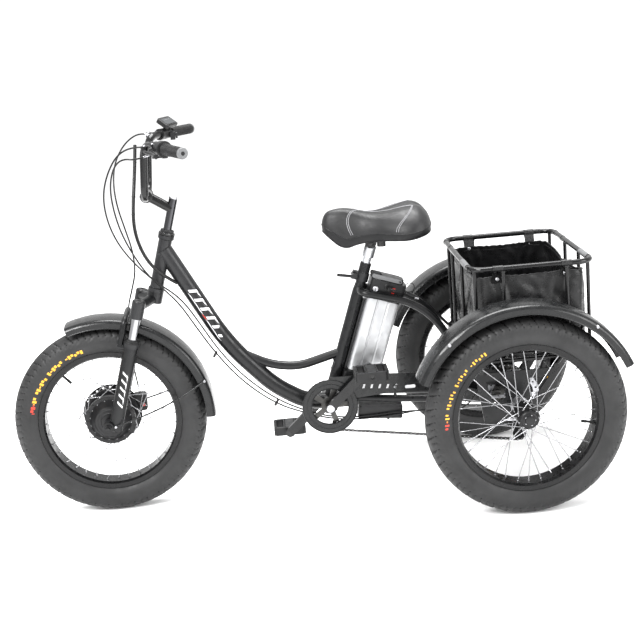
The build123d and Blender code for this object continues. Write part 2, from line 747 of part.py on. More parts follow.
with BuildPart() as rear_caliper:
    at = from_rear(caliper_at[0], rotor_y + 15, caliper_at[1])
    with BuildSketch(side_plane(at)):
        RectangleRounded(46, 34, 8)
    extrude(amount=30)
    with BuildSketch(side_plane(from_rear(0, rotor_y + 3, 0))):
        Circle(rotor_r + 4)
    extrude(amount=6, mode=Mode.SUBTRACT)
save(rear_caliper, "rear_caliper")

# ---------------------------------------------------------------- cranks, chain and gears
_ca = math.radians(crank_angle)
crank_dir = Vector(math.cos(_ca), 0, math.sin(_ca))
near_arm_y = (-74.0, -88.0)
far_arm_y = (64.0, 78.0)
pedal_pin_r = 7.0
with BuildPart() as crank_arms:
    rod(bb + Y_DIR * near_arm_y[1], bb + Y_DIR * far_arm_y[1], bb_spindle_r)
    for way, (y_in, y_out) in ((1, near_arm_y), (-1, far_arm_y)):
        base = bb + Y_DIR * max(y_in, y_out)
        plane = Plane(origin=base, x_dir=crank_dir * way, z_dir=(0, -1, 0))
        with BuildSketch(plane):
            with Locations((crank_length / 2, 0)):
                SlotCenterToCenter(crank_length, 28)
        extrude(amount=abs(y_out - y_in))
    for way, y in ((1, near_arm_y[1]), (-1, far_arm_y[1])):
        pin = bb + crank_dir * (way * crank_length)
        out = -1 if y < 0 else 1
        rod(pin + Y_DIR * (y - out * 6), pin + Y_DIR * (y + out * 92), pedal_pin_r)
save(crank_arms, "crank_arms")

with BuildPart() as chainring:
    with Locations(Location((bb.X, 0, bb.Z))):
        add(extrude(sprocket(chain_y, chainring_teeth, 58.0), amount=sprocket_t, mode=Mode.PRIVATE))
    with BuildSketch(side_plane(bb + Y_DIR * (chain_y + 1))):
        with PolarLocations(36, 5):
            Rectangle(56, 16)
        Circle(26)
        Circle(bb_spindle_r, mode=Mode.SUBTRACT)
    extrude(amount=5)
save(chainring, "chainring")

pedal_half = 46.0
for which, way, y in (("near", 1, near_arm_y[1]), ("far", -1, far_arm_y[1])):
    out = -1 if y < 0 else 1
    pin = bb + crank_dir * (way * crank_length)
    centre = pin + Y_DIR * (y + out * (4 + pedal_half))
    with BuildPart() as pedal:
        with BuildSketch(Plane(origin=centre - Vector(0, 0, 13))):
            RectangleRounded(96, 2 * pedal_half, 10)
            for dx in (-30, 30):
                with Locations((dx, 0)):
                    RectangleRounded(22, 2 * pedal_half - 22, 4, mode=Mode.SUBTRACT)
        extrude(amount=26)
        rod(centre - Y_DIR * 60, centre + Y_DIR * 60, pedal_pin_r + running, Mode.SUBTRACT)
    save(pedal, f"pedal_{which}")

guide_at = rear_axle + Vector(13, 0, -104)
tension_at = rear_axle + Vector(34, 0, -156)
big_sprocket_r = pitch_radius(cassette_teeth[0])
chain_wheels = [
    (bb.X, bb.Z, pitch_radius(chainring_teeth)), (tension_at.X, tension_at.Z, pulley_r),
    (guide_at.X, guide_at.Z, -pulley_r), (rear_axle.X, rear_axle.Z, big_sprocket_r),
]


def belt_outline(wheels, grow):
    """Tangent lines and arcs round directed circles (negative radius turns clockwise)."""
    ends = []
    count = len(wheels)
    for i in range(count):
        (x1, z1, r1), (x2, z2, r2) = wheels[i], wheels[(i + 1) % count]
        r1, r2 = r1 + grow, r2 + grow
        dx, dz = x2 - x1, z2 - z1
        normal = math.atan2(dz, dx) - math.acos((r1 - r2) / math.hypot(dx, dz))
        nx, nz = math.cos(normal), math.sin(normal)
        ends.append(((x1 + r1 * nx, z1 + r1 * nz), (x2 + r2 * nx, z2 + r2 * nz), normal))
    for i in range(count):
        Line(ends[i][0], ends[i][1])
        x, z, r = wheels[(i + 1) % count]
        r += grow
        a_in, a_out = ends[i][2], ends[(i + 1) % count][2]
        sweep_angle = (a_out - a_in) % (2 * math.pi)
        if r < 0:
            sweep_angle -= 2 * math.pi
        mid = a_in + sweep_angle / 2
        ThreePointArc(ends[i][1], (x + r * math.cos(mid), z + r * math.sin(mid)), ends[(i + 1) % count][0])


with BuildPart() as chain:
    for edge in (chain_slot / 2 + chain_plate, -chain_slot / 2):
        with BuildSketch(side_plane(Vector(0, chain_y + edge, 0))):
            with BuildLine():
                belt_outline(chain_wheels, chain_height / 2)
            make_face()
            with BuildLine():
                belt_outline(chain_wheels, -chain_height / 2)
            make_face(mode=Mode.SUBTRACT)
        extrude(amount=chain_plate)
    top_z = (bb.Z + chain_wheels[0][2], rear_axle.Z + big_sprocket_r)
    low_z = (bb.Z - chain_wheels[0][2], tension_at.Z - pulley_r)
    pins = 10
    for start, end in ((top_z, (bb.X, rear_axle.X)), (low_z, (bb.X, tension_at.X))):
        for k in range(1, pins):
            s = k / pins
            x = end[0] + 60 + (end[1] - end[0] - 120) * s
            z = start[0] + (start[1] - start[0]) * (x - end[0]) / (end[1] - end[0])
            pin_half = Y_DIR * (chain_slot / 2 + 0.5)
            middle = Vector(x, chain_y, z)
            rod(middle - pin_half, middle + pin_half, 2.2)
save(chain, "chain")

with BuildPart() as cassette:
    for n, teeth in enumerate(cassette_teeth):
        y = chain_y - n * cassette_step
        with Locations(Location((rear_axle.X, 0, rear_axle.Z))):
            add(extrude(sprocket(y, teeth, axle_r + running), amount=sprocket_t, mode=Mode.PRIVATE))
    with BuildSketch(side_plane(from_rear(0, chain_y + 8, 0))):
        Circle(22)
        Circle(axle_r + running, mode=Mode.SUBTRACT)
    extrude(amount=8 + cassette_step * len(cassette_teeth))
save(cassette, "cassette")

hanger_y = -inner_plate_y - plate_t / 2
with BuildPart() as derailleur_body:
    with BuildSketch(side_plane(Vector(0, hanger_y, 0))):
        with BuildLine():
            Polyline((rear_axle.X + 2, rear_axle.Z - 28), (rear_axle.X + 34, rear_axle.Z - 28),
                     (guide_at.X + 16, guide_at.Z + 8), (guide_at.X + 10, guide_at.Z - 14),
                     (guide_at.X - 12, guide_at.Z - 12), (guide_at.X - 15, guide_at.Z + 10),
                     (rear_axle.X + 2, rear_axle.Z - 28))
        make_face()
    extrude(amount=10)
    rod(Vector(guide_at.X, hanger_y - 10, guide_at.Z), Vector(guide_at.X, chain_y - 9, guide_at.Z), 4.0)
save(derailleur_body, "derailleur_body")

cage_dir = tension_at - guide_at
with BuildPart() as derailleur_cage:
    for y in (chain_y + 7.0, chain_y - 5.2):
        plane = Plane(origin=Vector(guide_at.X, y, guide_at.Z), x_dir=cage_dir, z_dir=(0, -1, 0))
        with BuildSketch(plane):
            with Locations((cage_dir.length / 2, 0)):
                SlotCenterToCenter(cage_dir.length, 20)
            Circle(4 + running, mode=Mode.SUBTRACT)
        extrude(amount=1.8)
    rod(tension_at + Y_DIR * (chain_y + 7), tension_at + Y_DIR * (chain_y - 7), 3.0)
    for at, bore in ((guide_at, 4 + running), (tension_at, 3 + running)):
        with BuildSketch(side_plane(Vector(at.X, chain_y + 1, at.Z))):
            Circle(pulley_r - chain_height / 2 + 2.5)
            Circle(bore, mode=Mode.SUBTRACT)
        extrude(amount=2)
save(derailleur_cage, "derailleur_cage")

guard_y = -63.0
guard_outer_r = 84.0
guard_inner_r = 55.0
with BuildPart() as chain_guard:
    with BuildSketch(side_plane(Vector(0, guard_y, 0))):
        with Locations((bb.X, bb.Z)):
            Circle(guard_outer_r)
        with BuildLine():
            Polyline((bb.X, bb.Z + 92), (bb.X + 180, bb.Z + 88), (bb.X + 262, bb.Z + 82),
                     (bb.X + 400, bb.Z + 28), (bb.X + 496, bb.Z - 6), (bb.X + 506, bb.Z - 24),
                     (bb.X + 492, bb.Z - 36), (bb.X + 410, bb.Z - 24), (bb.X + 300, bb.Z + 22),
                     (bb.X + 230, bb.Z + 30), (bb.X + 84, bb.Z + 20), (bb.X, bb.Z + 92))
        make_face()
        with Locations((bb.X, bb.Z)):
            Circle(guard_inner_r, mode=Mode.SUBTRACT)
    extrude(amount=3)
    for at in (bb + Vector(200, 0, 44), from_rear(lower_cross_x, 0, lower_cross_z)):
        rod(at + Y_DIR * (guard_y - 3), at + Y_DIR * (guard_y - 5), 7.0)
    rod(bb + Vector(200, guard_y, 34), bb + Vector(200, -50, 10), 5.0)
    near_stay = [Vector(p.X, -p.Y, p.Z) for p in lower_stay_path]
    add(swept_tube(near_stay, lower_stay_r + seat_gap), mode=Mode.SUBTRACT)
save(chain_guard, "chain_guard")

# ---------------------------------------------------------------- electrics
with BuildPart() as controller_box:
    box_plane = Plane(origin=bb + Vector(154, 0, -41), x_dir=Vector(math.cos(0.09), 0, -math.sin(0.09)),
                      z_dir=(0, -1, 0))
    with BuildSketch(box_plane.offset(-32)):
        RectangleRounded(136, 44, 5)
    extrude(amount=64)
save(controller_box, "controller_box")

with BuildPart() as battery_dock:
    dock_front = seat_tube_r + seat_gap
    dock_depth = battery_back + battery_depth / 2 + 6 - dock_front
    with BuildSketch(seat_plane(battery_low - 30, dock_front + dock_depth / 2)):
        RectangleRounded(dock_depth, battery_width - 4, 8)
    extrude(amount=30 - seat_gap)
    rail_back = (seat_tube_r + battery_back - battery_depth / 2) / 2
    with BuildSketch(seat_plane(battery_low - 30, rail_back)):
        Rectangle(battery_back - battery_depth / 2 - seat_tube_r - 2 * seat_gap, 24)
    extrude(amount=battery_high - battery_low + 10)
save(battery_dock, "battery_dock")

with BuildPart() as battery_case:
    with BuildSketch(seat_plane(battery_low, battery_back)):
        RectangleRounded(battery_depth, battery_width, 10)
        for side in (-1, 1):
            for x in (-26, 0, 26):
                with Locations((x, side * battery_width / 2)):
                    Rectangle(3, 3, mode=Mode.SUBTRACT)
    extrude(amount=battery_high - battery_low)
save(battery_case, "battery_case")

handle_pin_up = battery_high + battery_cap_h - 6
with BuildPart() as battery_cap:
    with BuildSketch(seat_plane(battery_high + seat_gap, battery_back + 3)):
        RectangleRounded(battery_depth + 8, battery_width + 2, 12)
    extrude(amount=battery_cap_h - 14)
    with BuildSketch(seat_plane(battery_high + battery_cap_h - 14, battery_back + 12)):
        RectangleRounded(battery_depth - 32, battery_width - 22, 10)
    extrude(amount=14)
    rod(on_seat(handle_pin_up, battery_back + 34, -(battery_width / 2 - 2)),
        on_seat(handle_pin_up, battery_back + 34, battery_width / 2 - 2), 3.0)
    rod(on_seat(battery_high + 24, battery_back - 34, -battery_width / 2),
        on_seat(battery_high + 24, battery_back - 34, -battery_width / 2 - 5), 6.5)
save(battery_cap, "battery_cap")

with BuildPart() as battery_handle:
    arm_y = battery_width / 2 - 6.5
    for side in (-1, 1):
        plane = Plane(origin=on_seat(handle_pin_up, battery_back + 34, side * arm_y + 2.2), x_dir=-seat_back,
                      z_dir=(0, -1, 0))
        with BuildSketch(plane):
            with Locations((40, 0)):
                SlotCenterToCenter(80, 12)
            Circle(3 + running, mode=Mode.SUBTRACT)
        extrude(amount=4.4)
    grip_back = battery_back - 46
    rod(on_seat(handle_pin_up, grip_back, -arm_y), on_seat(handle_pin_up, grip_back, arm_y), 6.0)
save(battery_handle, "battery_handle")

# ---------------------------------------------------------------- saddle
with BuildPart() as seat_post:
    with BuildSketch(seat_plane(seat_post_insert)):
        Circle(seat_post_r)
        Circle(seat_post_r - 2.5, mode=Mode.SUBTRACT)
    extrude(amount=seat_post_top - seat_post_insert)
save(seat_post, "seat_post")

rail_z = bb.Z + 487.0
clamp_x = on_seat(seat_post_top).X
clamp_socket = 25.0
with BuildPart() as saddle_frame:
    with BuildSketch(seat_plane(seat_post_top - clamp_socket)):
        Circle(seat_post_r + 5)
        Circle(seat_post_r + seat_gap, mode=Mode.SUBTRACT)
    extrude(amount=clamp_socket - 2)
    clamp_centre = Vector(clamp_x + 2, 0, rail_z - 4)
    rod(clamp_centre - Y_DIR * 29, clamp_centre + Y_DIR * 29, 15)
    with BuildSketch(seat_plane(seat_post_top - 4)):
        Circle(seat_post_r + 5)
    extrude(amount=14)
    rod(on_seat(seat_post_top - 60), on_seat(seat_post_top), seat_post_r + seat_gap, Mode.SUBTRACT)
    for side in (-1, 1):
        rail = [
            Vector(clamp_x - 100, side * 11, rail_z + 15), Vector(clamp_x - 50, side * 22, rail_z),
            Vector(clamp_x + 60, side * 22, rail_z), Vector(clamp_x + 118, side * 50, rail_z + 15),
        ]
        add(swept_tube(rail, 4.0))
    for side in (-1, 1):
        bumper = Vector(clamp_x + 32, side * 36, rail_z - 14)
        rod(bumper, bumper + Vector(0, 0, 22), 13)
save(saddle_frame, "saddle_frame")

saddle_ceiling = rail_z + 15 + 4 + soft_gap
saddle_low = saddle_ceiling - 24.0
saddle_high = 872.0
saddle_nose = clamp_x - 137.0
saddle_tail = clamp_x + 186.0


def saddle_outline(inset):
    """Closed plan curve of the seat, narrow nose and wide rear."""
    half = [(saddle_nose + 30, 33), (saddle_nose + 110, 50), (saddle_nose + 190, 104),
            (saddle_nose + 255, 130), (saddle_tail - 12, 92)]
    side = [(x, y - inset) for x, y in half]
    other = [(x, -y) for x, y in reversed(side)]
    Spline((saddle_nose + inset, 0), *side, (saddle_tail - inset, 0), *other, periodic=True)


with BuildPart() as saddle:
    with BuildSketch(Plane.XY.offset(saddle_low)):
        with BuildLine():
            saddle_outline(0)
        make_face()
    extrude(amount=saddle_high - saddle_low - 22)
    for height, inset in ((saddle_high - 22, 0), (saddle_high, 17)):
        with BuildSketch(Plane.XY.offset(height)):
            with BuildLine():
                saddle_outline(inset)
            make_face()
    loft()
    with BuildSketch(Plane.XY.offset(saddle_low)):
        with BuildLine():
            saddle_outline(14)
        make_face()
    extrude(amount=saddle_ceiling - saddle_low, mode=Mode.SUBTRACT)
save(saddle, "saddle")

lever_pin = on_seat(seat_tube_length, lug_back - 6, -12)
with BuildPart() as seat_lever:
    rod(on_seat(seat_tube_length, lug_back - 6, -26), on_seat(seat_tube_length, lug_back - 6, 18), 3.0)
    rod(on_seat(seat_tube_length, lug_back - 6, -26), on_seat(seat_tube_length, lug_back - 6, -12), 8.0)
    rod(on_seat(seat_tube_length, lug_back - 6, 12), on_seat(seat_tube_length, lug_back - 6, 18), 8.0)
    rod(on_seat(seat_tube_length - 3, lug_back - 10, -20),
        on_seat(seat_tube_length - 10, lug_back - 58, -20), 4.5)
save(seat_lever, "seat_lever")

# ---------------------------------------------------------------- stem and handlebar
quill_top = 272.0
bar_clamp = on_steer(266.0, 77.5)
with BuildPart() as quill_stem:
    with BuildSketch(steer_plane(90)):
        Circle(steerer_r - 2.5 - running)
    extrude(amount=head_tube_length + 24 - 90 + 2)
    with BuildSketch(steer_plane(head_tube_length + 24 + 1)):
        Circle(12.7)
    extrude(amount=quill_top - head_tube_length - 25)
    rod(on_steer(quill_top - 30), bar_clamp, 14)
    rod(bar_clamp - Y_DIR * 26, bar_clamp + Y_DIR * 26, bar_r + 6)
    rod(on_steer(quill_top - 1), on_steer(quill_top + 5), 6)
    rod(bar_clamp - Y_DIR * 40, bar_clamp + Y_DIR * 40, bar_r, Mode.SUBTRACT)
save(quill_stem, "quill_stem")

riser_low = bar_clamp + Vector(0, 92, 0)
riser_high = bar_clamp + Vector(14, 102, 160)
bar_end = bar_clamp + Vector(131, 330, 152)
bar_side = [riser_low, riser_high, bar_end]
bar_radii = [40.0, 42.0, 42.0, 40.0]
bar_path = [Vector(p.X, -p.Y, p.Z) for p in reversed(bar_side)] + bar_side
with BuildPart() as handlebar:
    add(swept_tube(bar_path, bar_r, tube_wall, bar_radii))
save(handlebar, "handlebar")


def on_bar(distance, side):
    """Point on the straight grip section, measured inwards from the bar's end."""
    end = Vector(bar_end.X, side * bar_end.Y, bar_end.Z)
    corner = Vector(riser_high.X, side * riser_high.Y, riser_high.Z)
    return end + (corner - end).normalized() * distance


def bar_sleeve(side, start, end, r, bore=None):
    """Round sleeve on the grip section between two distances from the end."""
    a, b = on_bar(start, side), on_bar(end, side)
    rod(a, b, r)
    rod(a, b, bore or bar_r, Mode.SUBTRACT)


grip_short = 74.0
throttle_end = 118.0
with BuildPart() as grips:
    bar_sleeve(-1, -6, grip_short, grip_r)
    bar_sleeve(1, -6, grip_length, grip_r)
    for side in (-1, 1):
        rod(on_bar(-6, side), on_bar(-0.5, side), grip_r)
save(grips, "grips")

with BuildPart() as throttle_sleeve:
    bar_sleeve(-1, grip_short + 0.5, throttle_end, grip_r + 1, bar_r + running)
    bar_sleeve(-1, throttle_end - 8, throttle_end, grip_r + 7, bar_r + running)
save(throttle_sleeve, "throttle_sleeve")

lever_dist = (throttle_end + 36.0, grip_length + 50.0)
barrel_front = Vector(-19, 0, 0)
bar_dir = {s: (on_bar(100, s) - on_bar(0, s)).normalized() for s in (-1, 1)}
lever_pivot = {}
with BuildPart() as bar_controls:
    bar_sleeve(-1, throttle_end + 0.5, throttle_end + 16, grip_r + 6)
    for n, side in enumerate((-1, 1)):
        bar_sleeve(side, lever_dist[n] - 14, lever_dist[n] + 14, bar_r + 6)
        base = on_bar(lever_dist[n], side)
        pivot = base + Vector(-38, 0, -4)
        lever_pivot[side] = pivot
        rod(base + Vector(-15, 0, 0), pivot + Vector(12, 0, 0), 10)
        for dz in (-12.0, 7.0):
            rod(pivot + Vector(0, 0, dz), pivot + Vector(0, 0, dz + 5), 11)
            rod(pivot + Vector(4, 0, dz + 2.5), pivot + Vector(16, 0, dz + 2.5), 2.5)
        rod(pivot + Vector(0, 0, -12), pivot + Vector(0, 0, 12), 3.0)
        rod(base + barrel_front, on_bar(lever_dist[n] + 22, side) + barrel_front, 7)
    bar_sleeve(1, grip_length + 8, grip_length + 34, bar_r + 5)
    pod = on_bar(grip_length + 25, 1) + Vector(14, 0, -8)
    with BuildSketch(Plane(origin=pod, z_dir=(1, 0, 0), x_dir=(0, 1, 0))):
        RectangleRounded(24, 26, 5)
    extrude(amount=14)
    rocker_pin = pod + Vector(17, 0, 0)
    for side in (-1, 1):
        rod(rocker_pin + Vector(-4, side * 9.8, 0), rocker_pin + Vector(2, side * 9.8, 0), 2)
    rod(rocker_pin - Y_DIR * 9.8, rocker_pin + Y_DIR * 9.8, 1.5)
    shifter_at = on_bar(lever_dist[0] + 32, -1)
    bar_sleeve(-1, lever_dist[0] + 24, lever_dist[0] + 44, bar_r + 3)
    shift_pivot = shifter_at + Vector(4, 0, -26)
    rod(shifter_at + Vector(2, 0, -10), shift_pivot + Vector(0, 0, 2), 13)
    rod(shift_pivot + Vector(0, 0, 3), shift_pivot + Vector(0, 0, -9), 3)
    add(swept_tube(bar_path, bar_r, radii=bar_radii), mode=Mode.SUBTRACT)
save(bar_controls, "bar_controls")

for n, (side, which) in enumerate(((-1, "near"), (1, "far"))):
    pivot = lever_pivot[side]
    with BuildPart() as brake_lever:
        rod(pivot + Vector(0, 0, -6.4), pivot + Vector(0, 0, 6.4), 9)
        out = -bar_dir[side]
        blade = [
            pivot, pivot + Vector(-14, 0, 0) + out * 34, pivot + Vector(-10, 0, -2) + out * 78,
            pivot + Vector(-16, 0, -4) + out * 112,
        ]
        add(swept_tube(blade, 4.6))
        rod(blade[-1] - Vector(0, 0, 5), blade[-1] + Vector(0, 0, 5), 6)
        rod(pivot - Vector(0, 0, 20), pivot + Vector(0, 0, 20), 3 + running, Mode.SUBTRACT)
    save(brake_lever, f"brake_lever_{which}")

with BuildPart() as mode_rocker:
    with BuildSketch(Plane(origin=rocker_pin + Vector(-1.6, 0, 0), z_dir=(1, 0, 0), x_dir=(0, 1, 0))):
        RectangleRounded(15, 18, 4)
    extrude(amount=6)
    rod(rocker_pin - Y_DIR * 20, rocker_pin + Y_DIR * 20, 1.5 + running, Mode.SUBTRACT)
save(mode_rocker, "mode_rocker")

with BuildPart() as shift_lever:
    rod(shift_pivot + Vector(0, 0, -1), shift_pivot + Vector(0, 0, -6), 11)
    paddle = shift_pivot + Vector(26, -16, -3.5)
    rod(shift_pivot + Vector(0, 0, -3.5), paddle, 2.4)
    rod(paddle - Vector(0, 0, 2.5), paddle + Vector(0, 0, 2.5), 8)
    rod(shift_pivot - Vector(0, 0, 20), shift_pivot + Vector(0, 0, 20), 3 + running, Mode.SUBTRACT)
save(shift_lever, "shift_lever")

display_at = on_bar(grip_length + 20, 1) + Vector(6, -6, 33)
with BuildPart() as display:
    tilt = math.radians(35)
    along_bar = Vector(-bar_dir[1].X, -bar_dir[1].Y, 0).normalized()
    rearwards = along_bar.cross(Vector(0, 0, 1))
    face = rearwards * math.sin(tilt) + Vector(0, 0, math.cos(tilt))
    plane = Plane(origin=display_at - face * 8, x_dir=along_bar, z_dir=face)
    with BuildSketch(plane):
        RectangleRounded(66, 42, 7)
    extrude(amount=14)
    fillet(display.faces().sort_by(Axis.Z)[-1].edges(), 2)
    stem_top = display_at - face * 8 - rearwards * 6
    rod(stem_top, on_bar(grip_length + 20, 1) + Vector(0, 0, 6), 6)
    rod(on_bar(0, 1), on_bar(300, 1), bar_r + 5 + seat_gap, Mode.SUBTRACT)
save(display, "display")

# ---------------------------------------------------------------- cables
cable_r = 2.4
barrel_end = {side: on_bar(lever_dist[n] + 26, side) + barrel_front for n, side in enumerate((-1, 1))}
brake_route = [
    barrel_end[-1], head_base + Vector(-6, -158, 440), head_base + Vector(-56, -146, 422),
    head_base + Vector(-94, -124, 366), head_base + Vector(-116, -104, 298),
    head_base + Vector(-113, -84, 222),
    head_base + Vector(-91, -64, 150), head_base + Vector(-50, -50, 84), head_base + Vector(2, -42, 26),
    head_base + Vector(54, -36, -16), head_base + Vector(87, -31, -58), bb + Vector(-365, -29, 282),
    bb + Vector(-318, -29, 197), bb + Vector(-252, -29, 109), bb + Vector(-160, -29, 28),
    bb + Vector(-68, -30, -20), bb + Vector(10, -34, -44), bb + Vector(90, -39, -50),
    bb + Vector(180, -39, -46),
    bb + Vector(276, -44, -44), from_rear(-196, -84, -56), from_rear(-136, -122, -34),
    from_rear(-104, -144, 20), from_rear(caliper_at[0] - 25.5, rotor_y, caliper_at[1] + 2),
]
shift_route = [
    shift_pivot + Vector(-19, 0, 4), head_base + Vector(-2, -184, 404), head_base + Vector(-44, -172, 410),
    head_base + Vector(-74, -146, 382), head_base + Vector(-92, -112, 324),
    head_base + Vector(-92, -84, 256),
    head_base + Vector(-80, -62, 184), head_base + Vector(-56, -42, 116), head_base + Vector(-22, -32, 50),
    head_base + Vector(22, -28, 0), head_base + Vector(64, -23, -50), bb + Vector(-383, -19, 280),
    bb + Vector(-331, -19, 190), bb + Vector(-263, -19, 98), bb + Vector(-165, -19, 12),
    bb + Vector(-67, -18, -31), bb + Vector(12, -24, -54), bb + Vector(90, -36, -58),
    bb + Vector(180, -38, -56),
    bb + Vector(290, -40, -44), from_rear(-160, -38, -50), from_rear(-70, -34, -60),
    from_rear(-26, -31, -66), from_rear(-2, -30, -72),
]
print("brake cable radii", [round(r) for r in tangent_radii(brake_route)])
print("shift cable radii", [round(r) for r in tangent_radii(shift_route)])
with BuildPart() as rear_cables:
    add(swept_tube(brake_route, cable_r))
    add(swept_tube(shift_route, cable_r))
save(rear_cables, "rear_cables")

front_route = [
    barrel_end[1], head_base + Vector(-8, 158, 448), head_base + Vector(-56, 140, 424),
    head_base + Vector(-92, 116, 370), head_base + Vector(-102, 92, 308), head_base + Vector(-96, 70, 242),
    head_base + Vector(-78, 50, 176), head_base + Vector(-62, 44, 108), head_base + Vector(-62, 56, 42),
    head_base + Vector(-80, 82, -14), head_base + Vector(-100, 106, -72),
    head_base + Vector(-110, 113, -142),
    head_base + Vector(-108, 111, -220), head_base + Vector(-102, 92, -286),
    Vector(front_caliper_at.X, front_rotor_y + 4, front_caliper_at.Z + 29.5),
]
print("front brake cable radii", [round(r) for r in tangent_radii(front_route)])
with BuildPart() as front_cable:
    add(swept_tube(front_route, cable_r))
save(front_cable, "front_brake_cable")

harness_r = 5.0
harness_route = [
    head_base + Vector(-22, 60, 420), head_base + Vector(-26, 34, 370), head_base + Vector(-32, 6, 316),
    head_base + Vector(-40, -18, 256), head_base + Vector(-44, -36, 192), head_base + Vector(-32, -46, 132),
    head_base + Vector(-6, -46, 78), head_base + Vector(30, -38, 40), head_base + Vector(62, -14, 12),
]
print("harness radii", [round(r) for r in tangent_radii(harness_route)])
with BuildPart() as wiring_harness:
    add(swept_tube(harness_route, harness_r))
    add(swept_tube(down_tube_path, down_tube_r + seat_gap), mode=Mode.SUBTRACT)
save(wiring_harness, "wiring_harness")

plug_at = on_seat(battery_high + 36, battery_back + 4, -battery_width / 2 - 1)
lead_start = bb + Vector(222, -62, 338)
loop_side = 16.0
lead_r = 1.3
loop_turns = ((35, 0), (90, -1.5), (150, -1.5), (205, -1.5), (262, -1.5))
lead_route = [lead_start, lead_start + Vector(42, 0, -9)]
for angle, drift in loop_turns:
    a = math.radians(angle)
    lead_route.append(lead_route[-1] + Vector(loop_side * math.cos(a), drift, loop_side * math.sin(a)))
lead_route += [lead_start + Vector(41, -8, -19), bb + Vector(283, -66, 311)]
print("charge lead radii", [round(r) for r in tangent_radii(lead_route)])
with BuildPart() as charge_lead:
    rod(plug_at, plug_at - Y_DIR * 22, 7.0)
    rod(plug_at - Y_DIR * 15, lead_start + Vector(3, 0, -0.6), 5.0)
    add(swept_tube(lead_route, lead_r))
save(charge_lead, "charge_lead")
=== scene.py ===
import json
import math

import bmesh
import bpy
import numpy as np
from mathutils import Matrix, Vector, noise


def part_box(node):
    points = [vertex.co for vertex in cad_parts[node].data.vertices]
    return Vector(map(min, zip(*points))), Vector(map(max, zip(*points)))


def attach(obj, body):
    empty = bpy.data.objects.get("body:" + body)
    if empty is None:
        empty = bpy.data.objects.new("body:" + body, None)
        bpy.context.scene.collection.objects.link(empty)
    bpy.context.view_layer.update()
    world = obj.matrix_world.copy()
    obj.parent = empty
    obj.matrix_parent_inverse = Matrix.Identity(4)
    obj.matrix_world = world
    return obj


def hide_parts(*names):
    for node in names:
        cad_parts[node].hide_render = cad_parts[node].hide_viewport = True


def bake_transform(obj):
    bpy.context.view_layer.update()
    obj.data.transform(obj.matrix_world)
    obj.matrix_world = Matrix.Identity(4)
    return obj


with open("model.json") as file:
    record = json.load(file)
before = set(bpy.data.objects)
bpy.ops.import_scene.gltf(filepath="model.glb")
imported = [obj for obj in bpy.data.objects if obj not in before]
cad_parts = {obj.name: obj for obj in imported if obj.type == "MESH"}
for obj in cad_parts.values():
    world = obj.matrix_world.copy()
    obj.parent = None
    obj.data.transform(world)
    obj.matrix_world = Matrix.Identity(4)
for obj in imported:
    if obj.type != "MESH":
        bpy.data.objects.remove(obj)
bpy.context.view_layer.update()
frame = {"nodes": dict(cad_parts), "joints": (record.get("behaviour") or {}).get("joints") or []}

# ---------------------------------------------------------------- places taken from the frame
joints = {joint["name"]: joint for joint in frame["joints"]}
Y_DIR = Vector((0, 1, 0))


def mm(x, y=0.0, z=0.0):
    return Vector((x, y, z)) * 0.001


def centre_of(node):
    low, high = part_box(node)
    return (low + high) / 2


head_base = Vector(joints["steering"]["pos_m"])
steer_up = Vector(joints["steering"]["axis"])
steer_fwd = Vector((-steer_up.z, 0, steer_up.x))
bb = Vector(joints["crank_spin"]["pos_m"])
seat_up = Vector(joints["seat_height"]["axis"])
seat_back = Vector((seat_up.z, 0, -seat_up.x))
front_axle = centre_of("front_tyre")
rear_near = centre_of("rear_tyre_near")
rear_far = centre_of("rear_tyre_far")
rear_axle = (rear_near + rear_far) / 2


def on_steer(up, fwd=0.0, side=0.0):
    return head_base + (steer_up * up + steer_fwd * fwd + Y_DIR * side) * 0.001


def on_seat(up, back=0.0, side=0.0):
    return bb + (seat_up * up + seat_back * back + Y_DIR * side) * 0.001


def from_rear(x, y, z):
    return rear_axle + mm(x, y, z)


def side_of(point, side):
    return Vector((point.x, side * point.y, point.z))


bar_clamp = on_steer(266.0, 77.5)
riser_high = bar_clamp + mm(14, 102, 160)
bar_end = bar_clamp + mm(131, 330, 152)


def on_bar(distance, side):
    """Point on the straight grip section, measured inwards from the bar's end."""
    end, corner = side_of(bar_end, side), side_of(riser_high, side)
    return end + (corner - end).normalized() * distance * 0.001


# ---------------------------------------------------------------- mesh tools
def across(axis):
    """Two unit directions square to an axis."""
    axis = Vector(axis).normalized()
    first = axis.cross(Y_DIR if abs(axis.y) < 0.9 else Vector((1, 0, 0))).normalized()
    return first, axis.cross(first)


